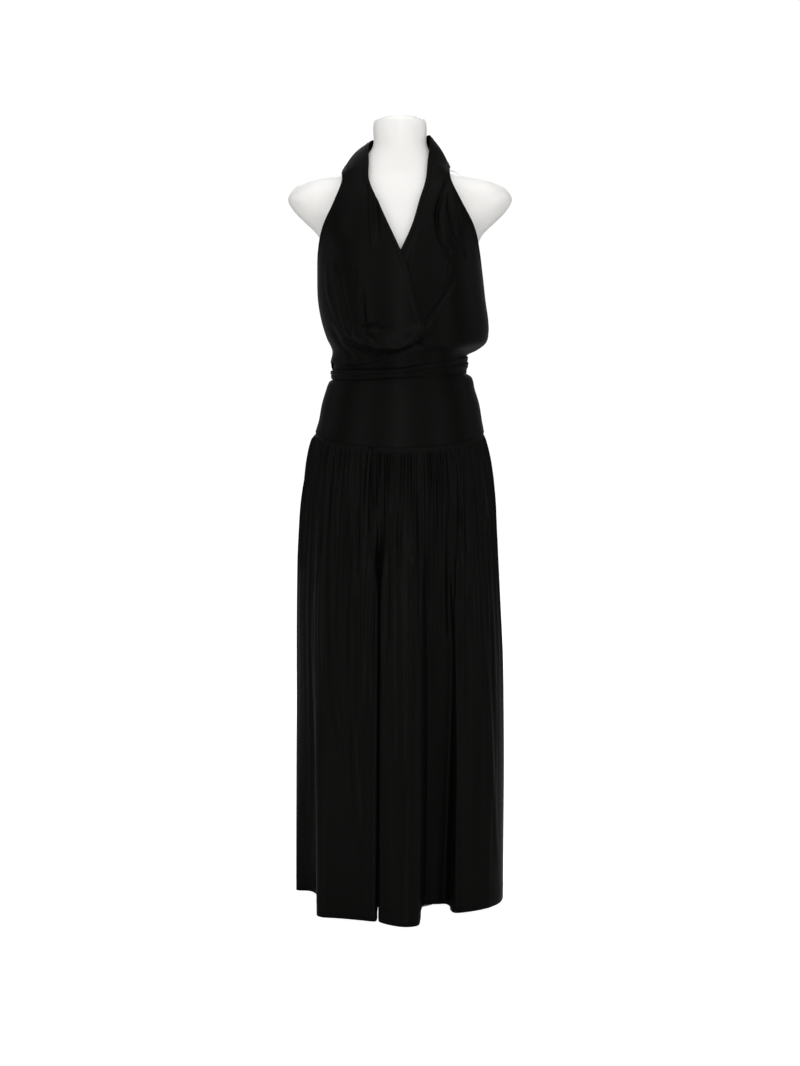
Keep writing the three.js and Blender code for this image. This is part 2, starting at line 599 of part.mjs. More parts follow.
function bodiceBack() {
  const columns = 20;
  const rows = 5;
  const gap = SEAM_GAP / 2 / SIDE_SEAM_DEPTH.bodice;
  const start = QUARTER + gap;
  const end = 3 * QUARTER - gap;
  const grid = Array.from({ length: rows + 1 }, (_, i) =>
    Array.from({ length: columns + 1 }, (_, j) => {
      const angle = start + ((end - start) * j) / columns;
      const scoop = Math.sin(angle - QUARTER) ** SCOOP_POWER;
      const top = ARMHOLE_BOTTOM - (ARMHOLE_BOTTOM - BACK_EDGE_MIDDLE) * scoop;
      const degrees = ((angle * 180) / Math.PI + 180) % 360 - 180;
      const bottom = column(sashEdges, "angle", degrees, "top") + SEAM_GAP + BACK_CLEAR;
      const z = top + ((bottom - top) * i) / rows;
      return ringPoint(sectionAt(bodiceSections, z), angle, z);
    }),
  );
  const normals = gridNormals(grid, false);
  const outer = moved(grid, normals, () => CLOTH / 2);
  const inner = moved(grid, normals, () => -CLOTH / 2);
  return clothMesh("bodice_back", wallGeometry(outer, inner, false));
}

// Sash

function sashStretch(name, section, upperEdge, lowerEdge) {
  const columns = 56;
  const rows = 3;
  const rounded = (t) => SASH_ROUNDING * (1 - Math.sqrt(1 - (2 * t - 1) ** 2 * SASH_EDGE));
  const layer = (insetAt) =>
    Array.from({ length: rows + 1 }, (_, i) =>
      Array.from({ length: columns }, (_, j) => {
        const degrees = -180 + (360 * j) / columns;
        const top = column(sashEdges, "angle", degrees, upperEdge) - SEAM_GAP / 2;
        const bottom = column(sashEdges, "angle", degrees, lowerEdge) + SEAM_GAP / 2;
        const t = i / rows;
        const z = top + (bottom - top) * t;
        return ringPoint(insetSection(section, insetAt(t)), radians(degrees), z);
      }),
    );
  return clothMesh(name, wallGeometry(layer(rounded), layer(() => SASH_WALL), true));
}

// Yoke and skirt

function seamHeight(angle) {
  const c = Math.cos(angle);
  const dip = c > 0 ? SEAM_DIP_FRONT * c ** SEAM_DIP_POWER : SEAM_DIP_BACK * c * c;
  return SEAM_HEIGHT_SIDE - dip;
}

function yokeHalf(name, start) {
  const columns = 28;
  const downTheYoke = [0, 0.06, 0.12, 0.18, 0.25, 0.4, 0.57, 0.78, 1];
  const gap = SEAM_GAP / 2 / SIDE_SEAM_DEPTH.yoke;
  const grid = downTheYoke.map((share) =>
    Array.from({ length: columns + 1 }, (_, j) => {
      const angle = start + gap + ((Math.PI - 2 * gap) * j) / columns;
      const z = YOKE_TOP + (seamHeight(angle) + SEAM_GAP - YOKE_TOP) * share;
      return ringPoint(sectionAt(yokeSections, z), angle, z);
    }),
  );
  const normals = gridNormals(grid, false);
  const inner = moved(grid, normals, () => -CLOTH);
  return clothMesh(name, wallGeometry(grid, inner, false));
}

// For each point of the hem, where it comes from along the yoke seam: the share of the seam
// passed when the cloth is gathered evenly, and when it hangs straight from above
function seamShares(points, turn) {
  const lengths = points.map((p, k) => (k ? p.distanceTo(points[k - 1]) : 0));
  const total = lengths.reduce((sum, length) => sum + length, 0);
  let passed = 0;
  let reached = 0;
  const shares = points.map((p, k) => {
    passed += lengths[k];
    const across = clamp01((1 - (turn * p.x) / HEM_HALF_WIDTH) / 2);
    reached = Math.max(reached, Math.acos(1 - 2 * across) / Math.PI);
    return { even: passed / total, above: reached };
  });
  const first = shares[0].above;
  const range = reached - first;
  return shares.map(({ even, above }) => ({ even, above: (above - first) / range }));
}

// Points evenly spaced along the closed hem between two of its table's rows, each end drawn
// back from the side seam by half the seam's gap
function hemBetween(firstRow, lastRow, columns) {
  const rows = hemFolds.length;
  const curve = new THREE.CatmullRomCurve3(
    hemFolds.map(({ x, y }) => new THREE.Vector3(x, y, 0)),
    true,
    "centripetal",
  );
  curve.arcLengthDivisions = rows * CURVE_STEPS;
  const lengths = curve.getLengths();
  const lengthAt = (row) => lengths[row * CURVE_STEPS];
  const start = lengthAt(firstRow) + SEAM_GAP / 2;
  const end = lengthAt(lastRow) - SEAM_GAP / 2;
  const whole = lengthAt(rows);
  return Array.from({ length: columns + 1 }, (_, j) =>
    curve.getPointAt((start + ((end - start) * j) / columns) / whole),
  );
}

function skirtHalf(name, start, turn, hemRows, folds) {
  const columns = 2 * GATHERS_PER_HALF;
  const drops = [0, 12, 45, 120, 230, 360, 500, 650, 850];
  const hemPoints = hemBetween(hemRows[0], hemRows[1], columns);
  const shares = seamShares(hemPoints, turn);
  const gap = SEAM_GAP / 2 / SIDE_SEAM_DEPTH.skirt;
  const deepest = drops[drops.length - 1];
  const hemSection = sectionAt(skirtSections, HEM_HEIGHT);
  const grid = drops.map((drop) =>
    shares.map(({ even, above }, j) => {
      const t = drop / deepest;
      const swing = SWING_TOP + (SWING_HEM - SWING_TOP) * smooth(clamp01(t / SWING_REACH));
      const angle = start + gap + (even + (above - even) * swing) * (Math.PI - 2 * gap);
      const seam = seamHeight(angle);
      const z = seam + (HEM_HEIGHT - seam) * t;
      const point = ringPoint(sectionAt(skirtSections, z), angle, z);
      const hem = ringPoint(hemSection, angle, z);
      const open = t ** FOLD_GROWTH;
      point.x += open * (hemPoints[j].x - hem.x);
      point.y += open * (hemPoints[j].y + FORM_FRONT_SHIFT - hem.y);
      return point;
    }),
  );
  const bare = gridNormals(grid, false);
  const folded = moved(grid, bare, (i, j) => {
    const { x, z } = grid[i][j];
    const sides = smooth(clamp01(Math.min(j, columns - j) / SEAM_FADE));
    return sides * foldHeight(folds, x, z);
  });
  const normals = gridNormals(folded, false);
  const outer = moved(folded, normals, (i, j) => {
    const ridge = j % 2 === 1 ? 1 : 0;
    const uneven = 0.75 + 0.25 * Math.sin(1.7 * j) * Math.cos(0.9 * j);
    const growth = clamp01(drops[i] / 12);
    return GATHER_HEIGHT * ridge * uneven * growth * Math.exp(-drops[i] / GATHER_FADE);
  });
  const inner = moved(folded, normals, () => -CLOTH);
  return clothMesh(name, wallGeometry(outer, inner, false));
}

const dress = new THREE.Group();
dress.add(
  formBase(),
  formPole(),
  formTorso(),
  frontPanel({
    name: "bodice_right",
    strap: rightStrap,
    panel: rightPanel,
    folds: rightPanelFolds,
    inset: () => 0,
    mirrored: false,
    onSash: false,
  }),
  frontPanel({
    name: "bodice_left",
    strap: leftStrap,
    panel: leftPanel,
    folds: leftPanelFolds,
    inset: underInset,
    mirrored: true,
    onSash: true,
  }),
  bodiceBack(),
  sashStretch("sash_upper", sashUpperSection, "top", "middle"),
  sashStretch("sash_lower", sashLowerSection, "middle", "bottom"),
  yokeHalf("yoke_front", -QUARTER),
  yokeHalf("yoke_back", QUARTER),
  skirtHalf("skirt_front", -QUARTER, -1, [0, RIGHT_SEAM_ROW], skirtFrontFolds),
  skirtHalf("skirt_back", QUARTER, 1, [RIGHT_SEAM_ROW, hemFolds.length], skirtBackFolds),
);

export default dress;
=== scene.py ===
# %% [markdown]
# # A black jersey halter-neck maxi dress
# This dress is cut from one length of black jersey: two front panels whose straps meet behind
# the neck, a low back, a sash that is wound round the waist, a smooth yoke over the hips and a
# long skirt that is gathered to the yoke. It stands on a limbless dress form.
#
# The CAD solids give the sizes and the places. Here each of them gets the look of sewn cloth.
# A dressmaker's table of half widths and depths at each height is the start of every piece, so
# the same table shapes the solid and the cloth.

# %% Load the frame
import math
import bpy
import numpy as np
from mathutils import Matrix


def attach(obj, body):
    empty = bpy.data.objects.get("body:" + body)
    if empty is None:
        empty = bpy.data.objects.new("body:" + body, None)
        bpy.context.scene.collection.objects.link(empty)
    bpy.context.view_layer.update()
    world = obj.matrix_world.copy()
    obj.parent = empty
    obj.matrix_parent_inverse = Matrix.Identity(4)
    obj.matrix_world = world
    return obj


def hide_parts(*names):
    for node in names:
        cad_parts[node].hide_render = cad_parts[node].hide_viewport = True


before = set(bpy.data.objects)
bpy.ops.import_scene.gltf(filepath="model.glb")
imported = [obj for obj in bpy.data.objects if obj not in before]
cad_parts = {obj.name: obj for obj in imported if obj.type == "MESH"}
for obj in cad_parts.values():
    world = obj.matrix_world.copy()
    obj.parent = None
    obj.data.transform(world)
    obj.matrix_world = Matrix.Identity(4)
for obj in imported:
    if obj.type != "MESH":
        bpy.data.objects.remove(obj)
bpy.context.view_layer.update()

MM = 0.001
print("CAD nodes:", sorted(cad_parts))

# %% [markdown]
# ## Measuring tables
# A pattern is a list of measurements. Each table below has named columns in millimetres, and a
# smooth curve through its rows gives the measurement at any height between them. A spline was
# chosen over straight lines because cloth has no corners where the tape was laid.

# %% Tables and smooth curves through them
FRONT_SHIFT = -25.0  # the garment's middle plane stands in front of the pole


def as_table(columns, rows):
    """Rows of numbers as one array for each named column."""
    return dict(zip(columns.split(), np.array(rows, float).T))


def column(table, name, at, key="z"):
    """A column's value at any height (or other key): between two rows a cubic whose slope at
    each row is that of the straight line between the rows on either side of it."""
    keys, values = table[key], table[name]
    if keys[0] > keys[-1]:
        keys, values = keys[::-1], values[::-1]
    slopes = np.zeros_like(values)
    slopes[1:-1] = (values[2:] - values[:-2]) / (keys[2:] - keys[:-2])
    at = np.clip(at, keys[0], keys[-1])
    k = np.clip(np.searchsorted(keys, at, side="right") - 1, 0, len(keys) - 2)
    span = keys[k + 1] - keys[k]
    t = (at - keys[k]) / span
    return (
        (2 * t**3 - 3 * t**2 + 1) * values[k]
        + (t**3 - 2 * t**2 + t) * span * slopes[k]
        + (3 * t**2 - 2 * t**3) * values[k + 1]
        + (t**3 - t**2) * span * slopes[k + 1]
    )


def smooth(t):
    """Goes from 0 to 1 with level ends: 3t² − 2t³, and stays level outside."""
    t = np.clip(t, 0, 1)
    return t * t * (3 - 2 * t)


def ring(table, angle, z, inset=0.0):
    """Points of an egg-shaped ring at height z. Across it is half the width times the sine of
    the angle from the centre front, and in depth the front's or back's depth times its cosine."""
    across = np.where(np.sin(angle) < 0, column(table, "left", z), column(table, "right", z))
    deep = np.where(np.cos(angle) > 0, column(table, "front", z), column(table, "back", z))
    x = (across - inset) * np.sin(angle)
    y = FRONT_SHIFT - (deep - inset) * np.cos(angle)
    return np.stack(np.broadcast_arrays(x, y, z), -1)


def through(points, steps, closed=False):
    """A smooth line through points, or a smooth surface through whole sections: between two
    neighbours a cubic whose slopes are weighted by the square roots of the distances, so that
    it neither loops nor overshoots."""
    if closed:
        p = np.concatenate([points[-1:], points, points[:2]])
    else:
        p = np.concatenate([2 * points[:1] - points[1:2], points, 2 * points[-1:] - points[-2:-1]])
    gap = np.sqrt(np.linalg.norm(np.diff(p, axis=0), axis=-1, keepdims=True)) + 1e-9
    d0, d1, d2 = gap[:-2], gap[1:-1], gap[2:]
    p0, p1, p2, p3 = p[:-3], p[1:-2], p[2:-1], p[3:]
    leave = ((p1 - p0) / d0 - (p2 - p0) / (d0 + d1) + (p2 - p1) / d1) * d1
    arrive = ((p2 - p1) / d1 - (p3 - p1) / (d1 + d2) + (p3 - p2) / d2) * d1
    at = np.linspace(0, len(p1), steps + 1)
    k = np.minimum(at.astype(int), len(p1) - 1)
    t = (at - k).reshape((-1,) + (1,) * (points.ndim - 1))
    return (
        (2 * t**3 - 3 * t**2 + 1) * p1[k]
        + (t**3 - 2 * t**2 + t) * leave[k]
        + (3 * t**2 - 2 * t**3) * p2[k]
        + (t**3 - t**2) * arrive[k]
    )


BODICE = as_table("z left right front back", [
    (1293, 142, 138, 71, 80),
    (1257, 160, 152, 90, 92),
    (1215, 157, 150, 103, 98),
    (1194, 151, 146, 108, 99),
    (1173, 146, 142.5, 112, 99),
    (1135, 146, 146, 119, 97),
    (1092, 145, 151, 122, 92),
    (1064, 141, 155.5, 121, 88),
    (1036, 133, 157, 118, 84),
    (1022, 128.5, 155, 115, 82),
    (1010, 123, 147, 111, 81),
    (1004, 120.5, 136, 108, 80),
    (999, 119, 122, 105, 80),
    (990, 121, 118, 100, 79.5),
    (980, 123.5, 118, 97, 79),
    (964, 122, 117, 94, 79),
])
YOKE = as_table("z left right front back", [
    (972, 115, 115, 86, 78),
    (962, 116, 118.5, 87, 80),
    (958, 116.5, 126, 88, 81),
    (952.5, 118.4, 130, 90, 83),
    (949.5, 124.5, 131, 91, 84.5),
    (945, 128, 131.8, 92, 86),
    (936, 131.5, 133.5, 94, 89),
    (908, 140, 142, 99, 97),
    (879, 145.5, 147, 103, 104),
    (857, 152, 151, 106, 109),
    (826, 156, 154, 108, 113),
])
SKIRT = as_table("z left right front back", [
    (857, 152, 151, 107, 109),
    (843, 157.5, 155.5, 109, 115),
    (826, 162, 160, 112, 119),
    (790, 168, 166, 120, 124),
    (735, 175, 171, 129, 132),
    (681, 179, 174, 136, 138),
    (626, 183, 177, 141, 143),
    (553, 186, 181, 147, 147),
    (461, 188, 186, 152, 150),
    (369, 188, 188, 156, 152),
    (238, 189, 189, 160, 152),
    (12, 190, 188, 163, 150),
])
SASH = as_table("angle top middle bottom", [
    (-180, 981, 968, 955),
    (-135, 974, 964, 953),
    (-90, 967.6, 960, 952),
    (-45, 967.4, 957.5, 950),
    (0, 969.4, 960.5, 953.5),
    (28, 979.5, 967, 956),
    (50, 987.5, 973, 959),
    (90, 993.4, 981, 961.5),
    (135, 988, 974, 958),
    (180, 981, 968, 955),
])
print("waist, half width at the left:", column(BODICE, "left", 980.0), "mm")

# %% [markdown]
# ## From measurements to cloth
# Every piece of cloth is a grid of points: rows run down the piece and columns across it. A
# fold is a low ridge or trough whose line is drawn in the front view; the cloth moves out along
# its own normal. A drooping fold moves down too, so that it hangs over what is below it.
# The thickness of the jersey comes from a Solidify modifier, which keeps the grid simple.

# %% Grids, folds and meshes
CLOTH = 0.9  # mm, a medium jersey
FOLD_STEPS = 6  # straight steps in each stretch of a fold's line
FOLD_END = 0.35  # share of its height that a fold keeps at its ends


def unit_normals(grid, closed=False):
    """Unit normals that face out: the way down crossed with the way across."""
    down = np.gradient(grid, axis=0)
    if closed:
        across = np.roll(grid, -1, axis=1) - np.roll(grid, 1, axis=1)
    else:
        across = np.gradient(grid, axis=1)
    normal = np.cross(down, across)
    return normal / (np.linalg.norm(normal, axis=-1, keepdims=True) + 1e-12)


def to_path(x, z, path):
    """Distance in the front view from each point to a fold's line, positive on the line's left
    as it is followed, and the share of the line at the nearest place."""
    line = np.array(path, float)
    if len(path) > 2:
        line = through(line, FOLD_STEPS * (len(path) - 1))
    a, step = line[:-1], np.diff(line, axis=0)
    length = np.linalg.norm(step, axis=1)
    u = step / length[:, None]
    rx, rz = x[..., None] - a[:, 0], z[..., None] - a[:, 1]
    t = np.clip(rx * u[:, 0] + rz * u[:, 1], 0, length)
    dx, dz = rx - u[:, 0] * t, rz - u[:, 1] * t
    d = np.hypot(dx, dz)
    best = np.argmin(d, axis=-1)[..., None]
    side = np.sign(np.take_along_axis(u[:, 0] * dz - u[:, 1] * dx, best, -1)[..., 0])
    passed = np.concatenate([[0], np.cumsum(length)[:-1]])
    along = np.take_along_axis(passed + t, best, -1)[..., 0] / length.sum()
    return np.take_along_axis(d, best, -1)[..., 0] * np.where(side == 0, 1, side), along


def folded(grid, folds, share=1.0, lift=0.0):
    """The grid with its folds. Each fold moves the cloth out by height × fade × exp(−(d/width)²)
    and down by its droop in the same way, where d is the distance to its line and the fade is
    full in its middle and 0.35 at its ends."""
    x, z = grid[..., 0], grid[..., 2]
    height, droop = np.zeros_like(x), np.zeros_like(x)
    for path, out, width, *sag in folds:
        d, along = to_path(x, z, path)
        fade = FOLD_END + (1 - FOLD_END) * np.sin(np.pi * along)
        shape = fade * np.exp(-((d / width) ** 2))
        height += out * shape
        droop += sum(sag) * shape
    return moved(grid, share * height + lift, share * droop)


def cloth_piece(name, grid, closed=False, thickness=CLOTH):
    """A mesh from a grid of points in millimetres, with a UV map in metres of cloth: how far
    along its row and how far down its column each point lies."""
    rows, cols = grid.shape[:2]
    points = grid.reshape(-1, 3) * MM
    last = cols if closed else cols - 1
    i, j = np.meshgrid(np.arange(rows - 1), np.arange(last), indexing="ij")
    k = (j + 1) % cols
    faces = np.stack([i * cols + j, (i + 1) * cols + j, (i + 1) * cols + k, i * cols + k], -1)
    mesh = bpy.data.meshes.new(name)
    mesh.from_pydata(points.tolist(), [], faces.reshape(-1, 4).tolist())
    wide = np.concatenate([grid, grid[:, :1]], axis=1) if closed else grid
    across = np.linalg.norm(np.diff(wide, axis=1), axis=-1).mean(axis=0)
    down = np.linalg.norm(np.diff(wide, axis=0), axis=-1).mean(axis=1)
    u = np.concatenate([[0], np.cumsum(across)]) * MM
    v = np.concatenate([[0], np.cumsum(down)]) * MM
    corner_u = u[np.stack([j, j, j + 1, j + 1], -1)]
    corner_v = -v[np.stack([i, i + 1, i + 1, i], -1)]
    uv = mesh.uv_layers.new(name="cloth")
    uv.data.foreach_set("uv", np.stack([corner_u, corner_v], -1).astype(np.float32).ravel())
    mesh.polygons.foreach_set("use_smooth", np.ones(len(mesh.polygons), bool))
    mesh.update()
    piece = bpy.data.objects.new(name, mesh)
    bpy.context.scene.collection.objects.link(piece)
    if thickness:
        shell = piece.modifiers.new("cloth thickness", "SOLIDIFY")
        shell.thickness = thickness * MM
        shell.offset = -1
    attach(piece, "root")
    edges = (across.sum() * MM, down.sum() * MM)
    a, b, c, d = (points[faces.reshape(-1, 4)[:, n]] for n in range(4))
    area = np.linalg.norm(np.cross(c - a, d - b), axis=1).sum() / 2
    size = f"about {edges[0]:.3f} by {edges[1]:.3f} m, {area:.4f} m2"
    print(f"{name}: {size}, {len(mesh.polygons)} faces")
    return piece


def moved(grid, height, droop=0.0, closed=False):
    """The grid moved out along its normals by a height at each point, and down by the droop."""
    out = grid + unit_normals(grid, closed) * height[..., None]
    out[..., 2] -= droop
    return out


# %% [markdown]
# ## The dress form
# A dress form is a hollow moulded shell. Its trunk is an egg-shaped section at each height, and
# the shoulder caps are two lumps at the ends of that section. Blending the two by the cube root
# of the sum of their cubes leaves a soft valley between cap and chest.

# %% Form
FORM = as_table("z side chest cap_width cap_depth front back", [
    (1412, 34, 34, 0, 0, 32, 34),
    (1406, 44, 44, 0, 0, 42, 44),
    (1394, 47, 47, 0, 0, 45, 47),
    (1361, 48, 48, 0, 0, 46, 48),
    (1340, 63, 63, 0, 0, 48, 53),
    (1320, 88, 88, 0, 0, 52, 60),
    (1309, 132, 102, 40, 20, 55, 66),
    (1302, 165, 114, 50, 30, 58, 70),
    (1285, 188, 128, 52, 42, 66, 78),
    (1268, 198, 136, 52, 47, 74, 83),
    (1247, 187, 140, 46, 44, 82, 87),
    (1228, 168, 141, 36, 36, 89, 90),
    (1206, 146, 139, 28, 24, 96, 92),
    (1180, 136, 136, 20, 4, 102, 92),
    (1135, 133, 133, 0, 0, 108, 88),
    (1092, 127, 127, 0, 0, 106, 82),
    (1036, 115, 115, 0, 0, 95, 74),
    (995, 108, 108, 0, 0, 84, 70),
    (962, 107, 107, 0, 0, 80, 71),
    (930, 117, 117, 0, 0, 84, 78),
    (880, 136, 136, 0, 0, 92, 92),
    (830, 148, 148, 0, 0, 98, 100),
    (770, 152, 152, 0, 0, 100, 102),
    (715, 148, 148, 0, 0, 95, 95),
    (693, 138, 138, 0, 0, 86, 85),
    (683, 118, 118, 0, 0, 70, 68),
])


def form_grid(rows, around):
    """Points of the form: in depth the cube root of the trunk's half ellipse cubed plus the
    cap's half ellipse cubed."""
    z = np.linspace(FORM["z"][0], FORM["z"][-1], rows)[:, None]
    angle = (np.arange(around) + 0.5) * 2 * np.pi / around - np.pi
    get = {name: column(FORM, name, z) for name in FORM}
    x = get["side"] * np.sin(angle)
    facing = np.cos(angle)
    deep = np.where(facing > 0, get["front"], get["back"])
    trunk = np.sqrt(np.clip(1 - (x / get["chest"]) ** 2, 0, None)) * deep
    cap_width = np.maximum(get["cap_width"], 1.0)
    at = np.clip((np.abs(x) - (get["side"] - cap_width)) / cap_width, -1, 1)
    cap = np.where(get["cap_width"] > 1, get["cap_depth"] * np.sqrt(1 - at * at), 0)
    y = FRONT_SHIFT - np.sign(facing) * np.cbrt(trunk**3 + cap**3)
    return np.stack(np.broadcast_arrays(x, y, z), -1)


def closed_with_ends(grid):
    """The grid with a rounded-in ring and a small closing disc at each end."""
    top, bottom = grid[0], grid[-1]
    rings = []
    for end in (top, bottom):
        middle = end.mean(axis=0)
        rings.append([middle + (end - middle) * share for share in (0.97, 0.7, 0.35, 0.002)])
    above = np.array(rings[0][::-1])
    below = np.array(rings[1])
    return np.concatenate([above, grid, below])


form = cloth_piece(
    "form_body", closed_with_ends(form_grid(rows=150, around=108)), closed=True, thickness=0
)
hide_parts("form_torso")

# %% [markdown]
# ## The front panels
# A halter panel hangs from the nape: its strap passes over the shoulder and widens into the
# panel that covers one side of the chest. The two panels cross at the point of the neckline,
# and the wearer's right one lies on top. The lower end of the upper panel is drawn across to
# the other side, so that it sags in a pocket above the sash.
# Each section runs from the armhole to the neckline, and a smooth surface is drawn through them.

# %% Front panels
RIGHT_STRAP = as_table("outer_x outer_y outer_z inner_x inner_y inner_z", [
    (-0.2, 61, 1332, -0.2, 49.3, 1376),
    (-54, 52, 1328, -36, 40, 1377),
    (-95, 8, 1323, -53, 2, 1368),
    (-101, -36, 1309, -54, -45, 1325),
])
LEFT_STRAP = as_table("outer_x outer_y outer_z inner_x inner_y inner_z", [
    (0.2, 61, 1332, 0.2, 49.3, 1376),
    (54, 52, 1328, 36, 40, 1381),
    (86, 8, 1327, 53, 2, 1379),
    (86, -38, 1312, 48, -45, 1330),
])
RIGHT_PANEL = as_table("outer_angle outer_z inner_angle inner_z bend", [
    (-45.2, 1293, -22, 1293, 1),
    (-45.4, 1257, -14, 1257, 1),
    (-58.6, 1215, -7, 1213, 1),
    (-82, 1173, 0.5, 1169, 1),
    (-90, 1135, 7.2, 1124, 1),
    (-90, 1092, 10, 1090, 1),
    (-90, 1056, 13, 1060, 1.3),
    (-90, 1026, 16.4, 1036, 1.7),
    (-90, 1002, 16.6, 1025, 2.2),
    (-90, 981, 16, 1014, 2.6),
])
LEFT_PANEL = as_table("outer_angle outer_z inner_angle inner_z bend", [
    (40.2, 1293, 19, 1293, 1),
    (44.3, 1257, 13, 1257, 1),
    (59.2, 1215, 8, 1213, 1),
    (80, 1173, 0, 1168, 1),
    (90, 1135, -10, 1124, 1),
    (90, 1092, -22, 1086, 1),
    (90, 1056, -36, 1052, 1),
    (90, 1036, -54, 1026, 1),
    (90, 1018, -76, 1004, 1),
    (90, 1005, -90, 984, 0.7),
])
# Folds: line in the front view, height, half width and, where the cloth sags, droop
RIGHT_FOLDS = [
    ([(-51, 1290), (-50, 1231), (-47, 1172)], 2.4, 3.2),
    ([(-43, 1276), (-40, 1231), (-37, 1186)], -3.2, 4),
    ([(-80, 1250), (-82, 1180)], -2.0, 16),
    ([(-128, 1152), (-123, 1096), (-109, 1054)], 1.8, 3.5),
    ([(-115, 1152), (-106, 1094), (-89, 1024)], 3.2, 3.6),
    ([(-104, 1130), (-97, 1090), (-82, 1030)], -2.0, 6),
    ([(-70, 1134), (-68, 1070), (-61, 1024)], 2.2, 3),
    ([(-64, 1100), (-60, 1042), (-54, 1008)], -3.2, 3),
    ([(-66, 1040), (-46, 1043), (-31, 1050)], -4.2, 2.2),
    ([(-62, 1046), (-44, 1049)], 2.0, 3),
    ([(-50, 1040), (-34, 1038), (-16, 1038)], -3.6, 2.0),
    ([(-62, 1027), (-54, 1033), (-40, 1033)], 3.6, 2.2),
    ([(-59, 1030), (-49, 1028), (-39, 1024)], -4.4, 2.0),
    ([(-119, 1041), (-102, 1009), (-77, 984)], -4.0, 4.5),
    ([(-112, 1020), (-90, 992)], 2.6, 5),
    ([(-94, 1020), (-73, 1006), (-50, 1000), (-24, 1001), (4, 1001), (20, 1006), (38, 1020)], -12, 4.5),
    ([(-108, 983), (-80, 986), (-46, 991), (-22, 996), (0, 1003)], 0.5, 6, 10),
]
POCKET = ([(-74, 1030), (-48, 1021), (-22, 1019), (8, 1020), (36, 1034)], 11.5, 8, 13)
LEFT_FOLDS = [
    ([(81, 1288), (65, 1245), (63, 1226), (70, 1189), (85, 1168)], -5.6, 3.6),
    ([(79, 1266), (75, 1231), (81, 1186)], 2.4, 4),
    ([(82, 1270), (89, 1215), (111, 1162)], -4.4, 3.4),
    ([(91, 1272), (101, 1218)], 2.4, 5),
    ([(32, 1202), (19, 1147), (20, 1100)], 2.2, 5),
    ([(83, 1150), (71, 1104)], 2.6, 5),
    ([(92, 1118), (73, 1086), (44, 1047), (34, 1034)], -4.6, 4),
    ([(80, 1096), (54, 1052)], 1.0, 4),
    ([(60, 1012), (84, 1006), (112, 1010)], 4, 9),
    ([(-100, 1022), (-68, 1008), (-41, 1003), (-15, 1004), (30, 1012)], -13, 7),
]
LAYER = 4.5  # the panel below lies this far inside the panel above
LAYER_END = 8  # degrees right of the centre front where the layer starts to fade
LAYER_FADE = 26  # degrees over which it fades
ARMHOLE_BOTTOM = 1135.0
EDGE_TURN = 7  # mm of cloth turned in at an edge
EDGE_RISE = 0.5  # mm that the turned edge stands up
SASH_COVER = 6  # mm that the sash covers of what ends under it
SASH_TUCK = 2  # mm that such a piece is pressed in there


def under_inset(angle):
    """How far the under panel lies inside: the layer's depth, which fades to nothing right of
    the centre front."""
    return LAYER * (1 - smooth((angle - math.radians(LAYER_END)) / math.radians(LAYER_FADE)))


def no_inset(angle):
    """The upper panel lies on the table's own surface."""
    return 0 * angle


def turned_edges(grid):
    """Height of the turned-in edges at both sides of the grid: level over the turn, measured
    along the rows, and gone 2 mm further in."""
    step = np.linalg.norm(np.diff(grid, axis=1), axis=-1)
    from_first = np.concatenate([np.zeros((len(grid), 1)), np.cumsum(step, axis=1)], axis=1)
    from_last = from_first[:, -1:] - from_first
    return EDGE_RISE * (1 - smooth((np.minimum(from_first, from_last) - EDGE_TURN) / 2))


def front_panel(strap, panel, folds, inset, on_sash, arch, columns=150, rows=250):
    """A panel as a grid: straight sections across the strap, then sections round the body whose
    height goes from the armhole's to the neckline's, all joined by smooth columns. A panel
    that reaches the sash ends tucked in below the sash's edge. The strap arches sideways by
    0.7 × the given millimetres, and up by as much, over the shoulder."""
    t = np.linspace(0, 1, columns + 1)
    outer = np.stack([strap["outer_x"], strap["outer_y"] + FRONT_SHIFT, strap["outer_z"]], -1)
    inner = np.stack([strap["inner_x"], strap["inner_y"] + FRONT_SHIFT, strap["inner_z"]], -1)
    over_shoulder = outer[:, None] + (inner - outer)[:, None] * t[:, None]
    arched = np.array([0, 0.5, 1, 0.6])[:, None] * np.sin(np.pi * t)
    over_shoulder += arched[..., None] * np.array([arch, 0, abs(arch)]) * 0.7
    row = {name: values[:, None] for name, values in panel.items()}
    angle = np.radians(row["outer_angle"] + (row["inner_angle"] - row["outer_angle"]) * t)
    z = row["outer_z"] + (row["inner_z"] - row["outer_z"]) * t ** row["bend"]
    sections = [over_shoulder, ring(BODICE, angle, z, inset(angle))]
    if on_sash:
        degrees = 90 - 180 * t
        angle = np.radians(degrees)
        edge = column(SASH, "top", degrees, key="angle")
        for above, tucked in ((2, 0), (-SASH_COVER, SASH_TUCK)):
            sections.append(ring(BODICE, angle, edge + above, inset(angle) + tucked)[None])
    grid = through(np.concatenate(sections), rows)
    if on_sash:
        grid = grid[:, ::-1]
    below = grid[..., 2] < ARMHOLE_BOTTOM + 30
    grid[..., 1] = np.where(below, np.minimum(grid[..., 1], FRONT_SHIFT), grid[..., 1])
    return folded(grid, folds, lift=CLOTH / 2 + turned_edges(grid))


right_grid = front_panel(
    RIGHT_STRAP, RIGHT_PANEL, RIGHT_FOLDS + [POCKET], no_inset, on_sash=False, arch=-7
)
right_panel = cloth_piece("front_panel_right", right_grid)
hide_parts("bodice_right")
left_grid = front_panel(LEFT_STRAP, LEFT_PANEL, LEFT_FOLDS, under_inset, on_sash=True, arch=4)
left_panel = cloth_piece("front_panel_left", left_grid)
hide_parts("bodice_left")

# %% [markdown]
# ## The low back
# The back only closes the bodice between the side seams. Its upper edge is scooped, and its
# lower edge lies under the sash.

# %% Back panel
BACK_EDGE_MIDDLE = 1036.0
SCOOP_POWER = 0.7


